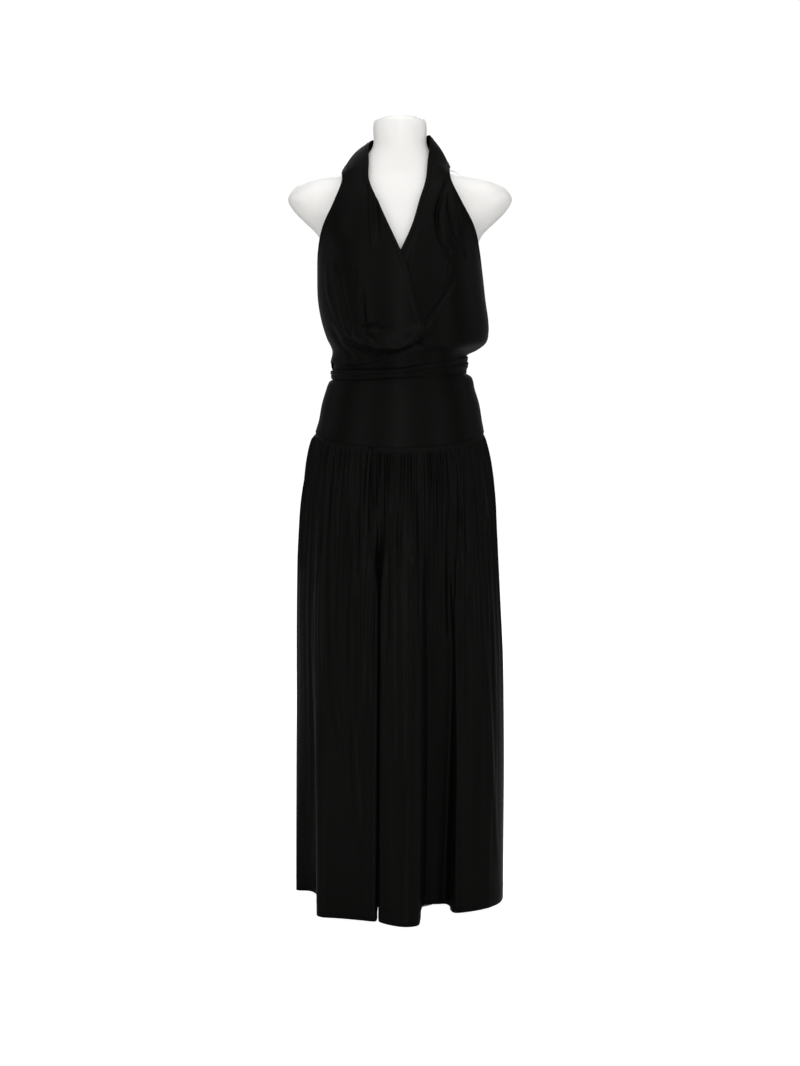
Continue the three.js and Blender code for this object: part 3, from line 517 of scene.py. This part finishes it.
def back_grid(columns, rows):
    """The back: from a scooped upper edge, whose depth follows a power of the sine, down to where
    the sash covers it and presses it in."""
    angle = np.linspace(np.pi / 2, 3 * np.pi / 2, columns + 1)
    scoop = np.sin(angle - np.pi / 2).clip(0) ** SCOOP_POWER
    top = ARMHOLE_BOTTOM - (ARMHOLE_BOTTOM - BACK_EDGE_MIDDLE) * scoop
    degrees = (np.degrees(angle) + 180) % 360 - 180
    bottom = column(SASH, "top", degrees, key="angle") - SASH_COVER
    share = np.linspace(0, 1, rows + 1)[:, None]
    z = top + (bottom - top) * share
    return ring(BODICE, angle, z, SASH_TUCK * smooth((share - 0.9) * 10))


rear_panel_grid = back_grid(columns=80, rows=40)
back_panel = cloth_piece("back_panel", rear_panel_grid)
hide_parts("bodice_back")

# %% [markdown]
# ## The wound sash
# A long strip of the same jersey is wound round the waist in two stretches. Winding pulls soft
# pleats along the strip.

# %% Sash
SASH_UPPER = {"left": 124, "right": 121.5, "front": 96.3, "back": 88.5}
SASH_LOWER = {"left": 123, "right": 125, "front": 95.3, "back": 88}
SASH_TURN = 1.6  # mm that its edges turn in
SASH_LEAN = 6.5  # mm that its foot leans in at the right
UNDER_TUCK = 2.2  # mm that the lower stretch is pressed in below the upper one


def sash_grid(section, upper, lower, pleats, under=0.0, columns=300, rows=24):
    """A stretch of the sash, closed round the waist. It turns in towards both edges by its turn
    times |2t − 1|⁶, where t is the share of the height. Right of the centre front the whole sash
    leans in towards its foot and its edges lie flat, so that it melts into the yoke. Each pleat
    is a ridge that follows the strip at its own share of the height. The upper edge may be
    carried up under the stretch above."""
    degrees = -180 + 360 * np.arange(columns) / columns
    angle = np.radians(degrees)
    edge = {name: column(SASH, name, degrees, key="angle") for name in ("top", "middle", "bottom")}
    top, bottom = edge[upper] + under, edge[lower]
    t = np.linspace(0, 1, rows + 1)[:, None]
    z = top + (bottom - top) * t
    at_right = smooth(degrees / 25) * smooth((150 - degrees) / 30)
    flat = np.where((t > 0.5) | (under > 0), 1 - 0.8 * at_right, 1)
    turned = SASH_TURN * flat * np.abs(2 * t - 1) ** 6
    leaning = SASH_LEAN * at_right * smooth((edge["top"] - z) / (edge["top"] - edge["bottom"]))
    ridges = sum(
        height * np.exp(-(((t - place - sway * np.sin(angle * turns + phase)) / width) ** 2))
        for place, height, width, sway, turns, phase in pleats
    )
    table = {"z": np.array([0.0, 2000.0])} | {k: np.array([v, v], float) for k, v in section.items()}
    tucked = UNDER_TUCK * smooth((under - (top - z)) / 2) if under else 0
    return ring(table, angle, z, turned + leaning + tucked - ridges)


# Pleats: share of the height, height, width, sway, turns of the sway, its phase
upper_sash = cloth_piece("sash_upper_stretch", sash_grid(SASH_UPPER, "top", "middle", [
    (0.3, 0.7, 0.10, 0.10, 2, 0.4),
    (0.62, 0.9, 0.09, 0.12, 1, 1.9),
]), closed=True)
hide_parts("sash_upper")
lower_sash = cloth_piece("sash_lower_stretch", sash_grid(SASH_LOWER, "middle", "bottom", [
    (0.50, 0.9, 0.10, 0.10, 2, 2.6),
    (0.80, 0.8, 0.08, 0.06, 1, 0.2),
], under=3.0), closed=True)
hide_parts("sash_lower")

# %% [markdown]
# ## The yoke
# The yoke is cut to the figure, so it lies smooth over stomach and hips. It is the plain foil
# for the gathers below.

# %% Yoke
YOKE_TOP = 966.5
SIDE_SEAM_TOP = 857  # height of the seam of yoke and skirt at the sides
FRONT_DIP = 26
FRONT_DIP_POWER = 1.4
BACK_DIP = 8
YOKE_DROP = 126.5  # about the yoke's height
YOKE_ROLL = 0.5  # mm that its lower edge rolls in, over about 1.5 mm


def seam_height(angle):
    """Height of the seam of yoke and skirt: it dips from the sides to the centre front and, less,
    to the centre back, by a power of the cosine."""
    c = np.cos(angle)
    return SIDE_SEAM_TOP - np.where(c > 0, FRONT_DIP * np.abs(c) ** FRONT_DIP_POWER, BACK_DIP * c * c)


def yoke_grid(start, folds, columns=110, rows=50):
    """Half of the yoke, from under the sash down to the curved seam, where it rolls in by its
    roll times exp(−height above the seam / 1.5 mm), with its folds."""
    angle = start + np.linspace(0, np.pi, columns + 1)
    share = np.linspace(0, 1, rows + 1)[:, None]
    z = YOKE_TOP + (seam_height(angle) - YOKE_TOP) * share
    edge_roll = YOKE_ROLL * np.exp(-(1 - share) * YOKE_DROP / 1.5)
    return folded(ring(YOKE, angle, z, edge_roll), folds)


# The first fold, under the sash at the wearer's left, runs on round the side seam
YOKE_FOLDS = [
    ([(112, 939), (128, 950)], -2.0, 3),
    ([(84, 948), (104, 944), (120, 930)], -0.9, 4),
    ([(-112, 944), (-84, 950)], -0.8, 4),
]
yoke_grids = [yoke_grid(-np.pi / 2, YOKE_FOLDS), yoke_grid(np.pi / 2, YOKE_FOLDS[:1])]
yoke_front = cloth_piece("yoke_front_cloth", yoke_grids[0])
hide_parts("yoke_front")
yoke_back = cloth_piece("yoke_back_cloth", yoke_grids[1])
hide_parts("yoke_back")

# %% [markdown]
# ## The gathered skirt
# Gathering thread draws a wide top edge into the yoke's shorter seam. Near the seam it makes
# many small ridges, uneven in height and length. Further down they join into a few deep folds
# that open to the hem. The hem's plan line is the start: every column of the cloth runs from
# its place on the seam to its place on that line.

# %% Skirt
HEM_HEIGHT = 12.0
HEM_HALF_WIDTH = 191
SKIRT_DROP = 850  # about the skirt's length, to which a point's drop is compared
OPENING_POWER = 1.25  # how late the skirt takes on the hem's line
SEAM_COVER = 2.5  # mm that the skirt is carried up behind the yoke
SEAM_TUCK = 2.4  # mm that it is pressed in there
HEM = as_table("x y", [
    (-190, 20), (-191, 0), (-163, -6), (-149, -40), (-146, -108), (-146.5, -131), (-139, -140),
    (-105, -147), (-75, -154), (-43, -161), (-40.2, -150), (-40.2, -116), (-39.0, -84),
    (-37.8, -116), (-37.8, -150), (-35, -165), (-3, -186), (17, -188), (31, -181), (36, -150), (38, -104),
    (44, -79), (68, -75), (82, -74), (88.5, -84), (90, -106), (97, -119), (131, -110),
    (157, -94), (179, -69), (187, -42), (188, -6), (180, 46), (191, 112), (166, 142),
    (136, 112), (110, 150), (72, 160), (46, 118), (22, 152), (-22, 160), (-44, 112),
    (-72, 150), (-112, 152), (-136, 108), (-164, 136), (-187, 104), (-180, 62),
])
RIGHT_SEAM_ROW = 31  # the hem's row at the side seam of the wearer's left
# Folds as in the panels: line in the front view, height and half width
FRONT_FOLDS = [
    ([(-111, 824), (-112, 680)], 2.6, 3),
    ([(-151, 580), (-152, 410), (-151, 230)], 3.0, 4),
    ([(-137, 640), (-138, 380)], 4.2, 4),
    ([(-145, 600), (-146, 400)], 2.0, 9),
    ([(-157, 470), (-157, 100)], -4.0, 4),
    ([(-118, 505), (-114, 403), (-101, 295)], 2.4, 4),
    ([(-81, 370), (-73, 160)], 2.6, 6),
    ([(-82, 800), (-84, 640)], 2.4, 5),
    ([(-63, 800), (-62, 660)], 2.4, 5),
    ([(-51, 850), (-50, 755)], -4.6, 4),
    ([(-49, 720), (-47, 617), (-48, 396)], -3.6, 2.6),
    ([(-41, 722), (-43, 640)], 3.4, 2.8),
    ([(-31, 524), (-29, 400)], 2.8, 2.8),
    ([(-22, 714), (-22, 505)], -3.4, 4),
    ([(-10, 440), (-10, 295)], 2.0, 3),
    ([(-2, 735), (-2, 630)], 3.0, 3.4),
    ([(17, 640), (19, 404), (12, 150)], 3.6, 3.2),
    ([(27, 768), (27, 640)], 3.8, 3.6),
    ([(33, 755), (34, 500)], -3.4, 3),
    ([(61, 785), (62, 655)], 3.2, 2.8),
    ([(48, 632), (48, 562)], 2.4, 2.6),
    ([(84, 730), (85, 500)], -4.4, 4),
    ([(118, 652), (120, 572)], 2.8, 3.4),
    ([(143, 785), (157, 668)], 3.0, 4),
    ([(150, 500), (165, 240), (176, 80)], 2.0, 4),
    ([(158, 540), (170, 300)], -2.4, 4),
]
BACK_FOLDS = [
    ([(-110, 740), (-116, 560)], 5, 9),
    ([(-70, 800), (-74, 620)], 4, 7),
    ([(-42, 780), (-40, 560)], -5, 7),
    ([(-14, 790), (-8, 420)], 6, 9),
    ([(26, 780), (30, 600)], -4, 6),
    ([(52, 790), (54, 520)], 5, 8),
    ([(92, 760), (96, 500)], -5, 8),
    ([(118, 790), (124, 600)], 4, 8),
]
GATHERS = 48
# Gathers of three sizes: how many, and the ranges of height, length and width, the width as a
# share of the distance from one to the next
GATHER_SIZES = [
    (48, (2.4, 4.4), (90, 330), (0.17, 0.26)),
    (29, (1.2, 2.8), (220, 560), (0.11, 0.17)),
    (14, (0.8, 2.6), (350, 800), (0.08, 0.15)),
]


def hem_points(first_row, last_row, columns):
    """Points evenly spaced along the closed hem line between two of its rows."""
    count, steps = len(HEM["x"]), 60
    line = through(np.stack([HEM["x"], HEM["y"]], -1), count * steps, closed=True)
    passed = np.concatenate([[0], np.cumsum(np.linalg.norm(np.diff(line, axis=0), axis=1))])
    at = np.linspace(passed[first_row * steps], passed[last_row * steps], columns + 1)
    return np.interp(at, passed, line[:, 0]), np.interp(at, passed, line[:, 1])


def gathers(angle_share, drop, seed):
    """Ridges of the gathering: each has its own place, height, width, length and slant, has the
    section exp(−(distance/width)²), and dies out as exp(−(drop/length)²)."""
    rng = np.random.default_rng(seed)
    total = np.zeros(np.broadcast_shapes(angle_share.shape, drop.shape))
    for count, heights, lengths, widths in GATHER_SIZES:
        place = (np.arange(count) + 0.5 + rng.uniform(-0.3, 0.3, count)) / count
        height, length = rng.uniform(*heights, count), rng.uniform(*lengths, count)
        width = rng.uniform(*widths, count) / count
        slant = rng.uniform(-0.6, 0.6, count) / GATHERS / 200
        for k in range(count):
            d = (angle_share - place[k] - slant[k] * drop) / (width[k] * (1 + drop / 600))
            total += height[k] * np.exp(-(d**2)) * np.exp(-((drop / length[k]) ** 2))
    return total


def skirt_grid(start, turn, hem_rows, folds, seed, columns=456, rows=94):
    """Half of the skirt. A point is the plain cone's, moved towards the hem's line by a power of
    the share of the drop, then out by the folds and the gathers. Its columns leave the seam
    evenly and swing to their places on the hem. The gathers start 1 mm below the seam and
    settle half inside the plain cone, most of all at the sides. Its top edge is carried up
    behind the yoke."""
    hem_x, hem_y = hem_points(*hem_rows, columns)
    even = np.linspace(0, 1, columns + 1)
    above = np.arccos(1 - 2 * np.clip((1 - turn * hem_x / HEM_HALF_WIDTH) / 2, 0, 1)) / np.pi
    above = np.maximum.accumulate(above)
    above = (above - above[0]) / (above[-1] - above[0])
    drop = SKIRT_DROP * np.linspace(0, 1, rows + 1)[:, None] ** 1.35
    t = drop / SKIRT_DROP
    swing = 0.4 + 0.59 * smooth(t / 0.35)
    angle = start + np.pi * ((1 - swing) * even + swing * above)
    seam = seam_height(angle)
    z = seam + (HEM_HEIGHT - seam) * t
    grid = ring(SKIRT, angle, z)
    hem = ring(SKIRT, angle, np.full_like(angle, HEM_HEIGHT))
    opening = t**OPENING_POWER
    grid[..., 0] += opening * (hem_x - hem[..., 0])
    grid[..., 1] += opening * (hem_y + FRONT_SHIFT - hem[..., 1])
    sides = smooth(np.minimum(even, 1 - even) * 16)
    grid = folded(grid, folds, sides)
    grid[..., 2] += SEAM_COVER * np.exp(-drop / 1.5)
    tuck = SEAM_TUCK * np.exp(-((drop / 2.5) ** 2))
    ridges = gathers((angle - start) / np.pi, drop, seed) * smooth(np.minimum(even, 1 - even) * 60)
    settle = 2.5 * np.exp(-((drop / 350) ** 2))
    settle = settle + 3 * np.sin(angle) ** 2 * np.exp(-((drop / 60) ** 2))
    return moved(grid, (ridges - settle) * smooth((drop - 1) / 12) - tuck)


front_grid = skirt_grid(-np.pi / 2, -1, (0, RIGHT_SEAM_ROW), FRONT_FOLDS, 4)
skirt_front = cloth_piece("skirt_front_cloth", front_grid)
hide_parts("skirt_front")
rear_grid = skirt_grid(np.pi / 2, 1, (RIGHT_SEAM_ROW, len(HEM["x"])), BACK_FOLDS, 9)
skirt_back = cloth_piece("skirt_back_cloth", rear_grid)
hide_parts("skirt_back")

# %% [markdown]
# ## Stitches
# Jersey is hemmed with a twin needle, which leaves two rows of stitches side by side. The edges
# of the panels are turned in and stitched once. Each stitch is a short piece of thread that
# rises out of the cloth and dips back into it, so it is built as a small bent rod.

# %% Rows of stitches
def line_beside(grid, edge, distance):
    """Points that lie a distance in from an edge of the grid, with their normals: along every
    line that leaves the edge, the lengths of its steps are added up and the place is
    interpolated."""
    normals = unit_normals(grid)
    lines, out = grid, normals
    if edge in ("first", "last"):
        lines, out = lines.swapaxes(0, 1), out.swapaxes(0, 1)
    if edge in ("bottom", "last"):
        lines, out = lines[::-1], out[::-1]
    step = np.linalg.norm(np.diff(lines, axis=0), axis=-1)
    passed = np.concatenate([np.zeros((1, step.shape[1])), np.cumsum(step, axis=0)])
    k = np.clip((passed < distance).sum(axis=0) - 1, 0, len(lines) - 2)
    j = np.arange(lines.shape[1])
    share = ((distance - passed[k, j]) / (passed[k + 1, j] - passed[k, j] + 1e-9))[:, None]
    return lines[k, j] + (lines[k + 1, j] - lines[k, j]) * share, out[k, j]


def stitch_row(name, rows, length=2.6, gap=1.0, radius=0.28):
    """Stitches along lines with normals. Each is a rod of three hexagons: its ends lie in the
    cloth and its middle stands one radius above it."""
    starts, ends, outs = [], [], []
    for line, normal in rows:
        passed = np.concatenate([[0], np.cumsum(np.linalg.norm(np.diff(line, axis=0), axis=1))])
        at = np.arange(gap, passed[-1] - length - gap, length + gap)
        place = lambda d, values: np.stack([np.interp(d, passed, values[:, n]) for n in range(3)], -1)
        starts.append(place(at, line))
        ends.append(place(at + length, line))
        outs.append(place(at + length / 2, normal))
    start, end, out = (np.concatenate(group) for group in (starts, ends, outs))
    out /= np.linalg.norm(out, axis=1, keepdims=True)
    along = end - start
    side = np.cross(along, out)
    side /= np.linalg.norm(side, axis=1, keepdims=True)
    turn = np.arange(6) * np.pi / 3
    circle = side[:, None] * np.cos(turn)[:, None] + out[:, None] * np.sin(turn)[:, None]
    middles = [start, (start + end) / 2 + out * radius, end]
    sizes = [radius * 0.5, radius, radius * 0.5]
    points = np.stack([m[:, None] + circle * size for m, size in zip(middles, sizes)], 1)
    count = len(points)
    first = np.arange(count)[:, None, None] * 18
    k, n = np.meshgrid(np.arange(2), np.arange(6), indexing="ij")
    ring_at, beside = k * 6, (n + 1) % 6
    corners = np.stack([ring_at + n, ring_at + beside, ring_at + 6 + beside, ring_at + 6 + n], -1)
    quads = (first[..., None] + corners).reshape(-1, 4)
    caps = np.concatenate([first[:, 0] + np.arange(5, -1, -1), first[:, 0] + 12 + np.arange(6)])
    mesh = bpy.data.meshes.new(name)
    mesh.from_pydata((points.reshape(-1, 3) * MM).tolist(), [], quads.tolist() + caps.tolist())
    mesh.polygons.foreach_set("use_smooth", np.ones(len(mesh.polygons), bool))
    mesh.update()
    piece = bpy.data.objects.new(name, mesh)
    bpy.context.scene.collection.objects.link(piece)
    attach(piece, "root")
    print(f"{name}: {count} stitches, {len(mesh.polygons)} faces")
    return piece


def twin(grid, edge, distance):
    """The two rows of a twin needle, 4 mm apart."""
    return [line_beside(grid, edge, distance), line_beside(grid, edge, distance + 4)]


stitched = [
    stitch_row("stitches_hem", twin(front_grid, "bottom", 22) + twin(rear_grid, "bottom", 22)),
    stitch_row(
        "stitches_panel_right",
        [line_beside(right_grid, edge, 6) for edge in ("first", "last", "bottom")],
    ),
    stitch_row("stitches_panel_left", [line_beside(left_grid, edge, 6) for edge in ("first", "last")]),
    stitch_row("stitches_back", twin(rear_panel_grid, "top", 8)),
    stitch_row("stitches_yoke", [line_beside(grid, "bottom", 3) for grid in yoke_grids]),
]

# %% [markdown]
# ## Jersey
# Jersey is knitted: each wale is a column of small V-shaped stitches. From 2.6 m away only the
# soft sheen of the knit shows, and close up the stitches do. The knit is a height map worked
# out from the cloth's own UV map in metres, so it keeps its real size on every piece.

# %% Node groups
def new_group(name, inputs, outputs):
    """A shader node group with named inputs and outputs; returns the group and its end nodes."""
    tree = bpy.data.node_groups.new(name, "ShaderNodeTree")
    for label, kind, value in inputs:
        socket = tree.interface.new_socket(label, in_out="INPUT", socket_type=kind)
        if value is not None:
            socket.default_value = value
    for label, kind in outputs:
        tree.interface.new_socket(label, in_out="OUTPUT", socket_type=kind)
    return tree, tree.nodes.new("NodeGroupInput"), tree.nodes.new("NodeGroupOutput")


def math_node(tree, operation, a, b=0.0):
    """One math node whose two inputs are sockets or numbers; returns its output."""
    node = tree.nodes.new("ShaderNodeMath")
    node.operation = operation
    for socket, value in zip(node.inputs, (a, b)):
        if isinstance(value, (int, float)):
            socket.default_value = value
        else:
            tree.links.new(value, socket)
    return node.outputs[0]


def knit_group():
    """Height of the knit: a rounded rib for each wale, crossed by courses that slope up on one
    side of the wale and down on the other, which makes the V of a stitch."""
    tree, source, sink = new_group(
        "knit height",
        [("Cloth", "NodeSocketVector", None), ("Wale", "NodeSocketFloat", 0.0011)],
        [("Height", "NodeSocketFloat")],
    )
    split = tree.nodes.new("ShaderNodeSeparateXYZ")
    tree.links.new(source.outputs["Cloth"], split.inputs[0])
    across = math_node(tree, "DIVIDE", split.outputs["X"], source.outputs["Wale"])
    down = math_node(tree, "DIVIDE", split.outputs["Y"], source.outputs["Wale"])
    half = math_node(tree, "PINGPONG", across, 0.5)
    rib = math_node(tree, "SINE", math_node(tree, "MULTIPLY", half, 2 * math.pi))
    course = math_node(tree, "ADD", math_node(tree, "MULTIPLY", down, 1.3), half)
    loops = math_node(tree, "SINE", math_node(tree, "MULTIPLY", course, 2 * math.pi))
    height = math_node(tree, "ADD", rib, math_node(tree, "MULTIPLY", loops, 0.4))
    tree.links.new(height, sink.inputs["Height"])
    return tree


def unevenness_group():
    """Broad and fine unevenness of a surface, from 0 to 1, as two masks."""
    tree, source, sink = new_group(
        "unevenness",
        [
            ("Place", "NodeSocketVector", None),
            ("Broad", "NodeSocketFloat", 9.0),
            ("Fine", "NodeSocketFloat", 160.0),
        ],
        [("Broad mask", "NodeSocketFloat"), ("Fine mask", "NodeSocketFloat")],
    )
    for name, detail in (("Broad", 3.0), ("Fine", 2.0)):
        node = tree.nodes.new("ShaderNodeTexNoise")
        node.inputs["Detail"].default_value = detail
        tree.links.new(source.outputs["Place"], node.inputs["Vector"])
        tree.links.new(source.outputs[name], node.inputs["Scale"])
        tree.links.new(node.outputs["Fac"], sink.inputs[name + " mask"])
    return tree


KNIT, UNEVEN = knit_group(), unevenness_group()

# %% Materials
JERSEY_DARK = (0.0020, 0.0020, 0.0018, 1)
JERSEY_LIGHT = (0.0026, 0.0026, 0.0023, 1)
FORM_DARK = (0.83, 0.82, 0.80, 1)
FORM_LIGHT = (0.86, 0.85, 0.83, 1)
STEEL_DARK = (0.55, 0.55, 0.56, 1)
STEEL_LIGHT = (0.68, 0.68, 0.69, 1)


def add_group(tree, group, vector, vector_input):
    """A node of a group in a material, fed with a vector."""
    node = tree.nodes.new("ShaderNodeGroup")
    node.node_tree = group
    tree.links.new(vector, node.inputs[vector_input])
    return node


def mix_colour(tree, mask, dark, light):
    """A colour between two, by a mask."""
    node = tree.nodes.new("ShaderNodeMix")
    node.data_type = "RGBA"
    node.inputs["A"].default_value = dark
    node.inputs["B"].default_value = light
    tree.links.new(mask, node.inputs["Factor"])
    return node.outputs["Result"]


def between(tree, mask, low, high):
    """A number between two, by a mask."""
    node = tree.nodes.new("ShaderNodeMapRange")
    node.inputs["To Min"].default_value = low
    node.inputs["To Max"].default_value = high
    tree.links.new(mask, node.inputs["Value"])
    return node.outputs["Result"]


def bumped(tree, height, distance, strength):
    """The normal of a bump from a height, with its depth in metres."""
    node = tree.nodes.new("ShaderNodeBump")
    node.inputs["Distance"].default_value = distance
    node.inputs["Strength"].default_value = strength
    tree.links.new(height, node.inputs["Height"])
    return node.outputs["Normal"]


def linked(tree, shader, outputs):
    """Links each output to the shader's input of that name."""
    for name, output in outputs.items():
        tree.links.new(output, shader.inputs[name])


def new_material(name):
    """A material with an empty tree but for its Principled shader; returns both."""
    material = bpy.data.materials.new(name)
    material.use_nodes = True
    return material, material.node_tree, material.node_tree.nodes["Principled BSDF"]


def jersey_material():
    """Black jersey: dark and matt, a little sheen at grazing angles, and the knit as a bump."""
    material, tree, shader = new_material("black_jersey")
    coordinates = tree.nodes.new("ShaderNodeUVMap")
    coordinates.uv_map = "cloth"
    place = tree.nodes.new("ShaderNodeTexCoord").outputs["Object"]
    uneven = add_group(tree, UNEVEN, place, "Place")
    knit = add_group(tree, KNIT, coordinates.outputs["UV"], "Cloth")
    tangent = tree.nodes.new("ShaderNodeTangent")
    tangent.direction_type = "UV_MAP"
    tangent.uv_map = "cloth"
    linked(tree, shader, {
        "Base Color": mix_colour(tree, uneven.outputs["Broad mask"], JERSEY_DARK, JERSEY_LIGHT),
        "Roughness": between(tree, uneven.outputs["Fine mask"], 0.44, 0.54),
        "Normal": bumped(tree, knit.outputs["Height"], 0.00002, 0.5),
        "Tangent": tangent.outputs["Tangent"],
    })
    shader.inputs["Anisotropic"].default_value = 0.8
    shader.inputs["Anisotropic Rotation"].default_value = 0.25
    shader.inputs["Specular IOR Level"].default_value = 0.05
    shader.inputs["Sheen Weight"].default_value = 0.004
    shader.inputs["Sheen Roughness"].default_value = 0.5
    return material


def thread_material():
    """Black polyester thread: a little smoother than the jersey, with a fine twist as a bump."""
    material, tree, shader = new_material("black_thread")
    place = tree.nodes.new("ShaderNodeTexCoord").outputs["Object"]
    uneven = add_group(tree, UNEVEN, place, "Place")
    uneven.inputs["Fine"].default_value = 2500
    linked(tree, shader, {
        "Base Color": mix_colour(tree, uneven.outputs["Fine mask"], JERSEY_DARK, JERSEY_LIGHT),
        "Roughness": between(tree, uneven.outputs["Broad mask"], 0.42, 0.5),
        "Normal": bumped(tree, uneven.outputs["Fine mask"], 0.00004, 0.5),
    })
    shader.inputs["Specular IOR Level"].default_value = 0.06
    return material


def form_material():
    """Glossy off-white moulded plastic with a faint unevenness. The shell is a little
    translucent, so light spreads some centimetres inside it and its shadows are soft."""
    material, tree, shader = new_material("form_plastic")
    place = tree.nodes.new("ShaderNodeTexCoord").outputs["Object"]
    uneven = add_group(tree, UNEVEN, place, "Place")
    linked(tree, shader, {
        "Base Color": mix_colour(tree, uneven.outputs["Broad mask"], FORM_DARK, FORM_LIGHT),
        "Roughness": between(tree, uneven.outputs["Fine mask"], 0.30, 0.38),
        "Normal": bumped(tree, uneven.outputs["Broad mask"], 0.0006, 0.4),
    })
    shader.inputs["Subsurface Weight"].default_value = 0.6
    shader.inputs["Subsurface Radius"].default_value = (1, 1, 1)
    shader.inputs["Subsurface Scale"].default_value = 0.05
    return material


def steel_material():
    """Brushed steel: fine unevenness drawn out round the pole."""
    material, tree, shader = new_material("brushed_steel")
    place = tree.nodes.new("ShaderNodeTexCoord").outputs["Object"]
    stretch = tree.nodes.new("ShaderNodeMapping")
    stretch.inputs["Scale"].default_value = (1, 1, 12)
    tree.links.new(place, stretch.inputs["Vector"])
    uneven = add_group(tree, UNEVEN, stretch.outputs["Vector"], "Place")
    linked(tree, shader, {
        "Base Color": mix_colour(tree, uneven.outputs["Fine mask"], STEEL_DARK, STEEL_LIGHT),
        "Roughness": between(tree, uneven.outputs["Fine mask"], 0.28, 0.42),
    })
    shader.inputs["Metallic"].default_value = 1.0
    return material


JERSEY, PLASTIC, STEEL = jersey_material(), form_material(), steel_material()
bodice = [right_panel, left_panel, back_panel]
for piece in bodice + [upper_sash, lower_sash, yoke_front, yoke_back, skirt_front, skirt_back]:
    piece.data.materials.append(JERSEY)
THREAD = thread_material()
for piece in stitched:
    piece.data.materials.append(THREAD)
form.data.materials.append(PLASTIC)
for name in ("form_pole", "form_base"):
    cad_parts[name].data.materials.clear()
    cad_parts[name].data.materials.append(STEEL)

# %% [markdown]

# %% [markdown]
# ## Studio
# A pale floor and soft light from large panels, as for a catalogue picture. The two narrow
# strips in front draw the upright band of sheen on the yoke. The camera stands 2.6 m in front
# of the dress, a little below its waist, and looks down by about 5 degrees.

# %% Floor, light and camera
FLOOR_DARK = (0.60, 0.60, 0.60, 1)
FLOOR_LIGHT = (0.64, 0.64, 0.64, 1)
PHOTO_HEIGHT = 1066  # pixels
FOCAL_LENGTH = 1444  # pixels


def by_camera(tree, for_light, for_camera):
    """A strength with one value for the camera and another for the light that it gives."""
    seen = tree.nodes.new("ShaderNodeLightPath").outputs["Is Camera Ray"]
    return between(tree, seen, for_light, for_camera)


def studio_floor():
    """A pale round floor under the dress."""
    bpy.ops.mesh.primitive_circle_add(vertices=96, radius=14, fill_type="NGON", location=(0, 0, -0.0005))
    floor = bpy.context.object
    floor.name = "floor"
    material, tree, shader = new_material("pale_floor")
    place = tree.nodes.new("ShaderNodeTexCoord").outputs["Object"]
    uneven = add_group(tree, UNEVEN, place, "Place")
    linked(tree, shader, {
        "Base Color": mix_colour(tree, uneven.outputs["Broad mask"], FLOOR_DARK, FLOOR_LIGHT),
        "Emission Strength": by_camera(tree, 0.05, 0.95),
    })
    shader.inputs["Roughness"].default_value = 0.7
    shader.inputs["Emission Color"].default_value = (1, 1, 1, 1)
    floor.data.materials.append(material)
    return floor


def soft_light(name, place, aim, size, power):
    """A panel of light, width by height, that faces a point."""
    data = bpy.data.lights.new(name, "AREA")
    data.shape = "RECTANGLE"
    data.size, data.size_y = size
    data.energy = power
    lamp = bpy.data.objects.new(name, data)
    lamp.location = place
    way = np.array(aim, float) - np.array(place, float)
    flat = math.hypot(way[0], way[1])
    lamp.rotation_euler = (math.atan2(flat, -way[2]), 0, math.atan2(-way[0], way[1]))
    bpy.context.scene.collection.objects.link(lamp)
    return lamp


floor = studio_floor()
world = bpy.data.worlds.new("studio")
world.use_nodes = True
backdrop = world.node_tree.nodes["Background"]
backdrop.inputs["Color"].default_value = (1, 1, 1, 1)
world.node_tree.links.new(by_camera(world.node_tree, 0.19, 1.02), backdrop.inputs["Strength"])
bpy.context.scene.world = world
soft_light("front strip of light", (0, -3.5, 1.6), (0, 0, 1.0), (0.45, 1.4), 18)
soft_light("low strip of light", (0, -2.9, 0.3), (0, 0, 1.25), (0.45, 0.5), 9)
soft_light("front left panel of light", (-2.2, -2.4, 1.2), (0, 0, 1.2), (1.4, 1.8), 20)
soft_light("front right panel of light", (2.2, -2.4, 1.2), (0, 0, 1.2), (1.4, 1.8), 20)
soft_light("left panel of light", (-3.0, 0.1, 1.8), (0, 0, 1.2), (1.6, 1.2), 7)
soft_light("right panel of light", (3.0, 0.1, 1.8), (0, 0, 1.2), (1.6, 1.2), 7)
soft_light("back panel of light", (0, 2.4, 3.2), (0, 0, 0.9), (2.6, 1.2), 60)
soft_light("top panel of light", (0, -0.9, 3.4), (0, 0, 0.8), (2.6, 2.6), 38)

camera_data = bpy.data.cameras.new("camera")
camera_data.sensor_width = 36
camera_data.lens = camera_data.sensor_width * FOCAL_LENGTH / PHOTO_HEIGHT
camera = bpy.data.objects.new("camera", camera_data)
camera.location = (0, -2.625, 0.915)
camera.rotation_euler = (math.radians(90 - 5.26), 0, 0)
bpy.context.scene.collection.objects.link(camera)
bpy.context.scene.camera = camera
bpy.context.scene.view_settings.view_transform = "Standard"
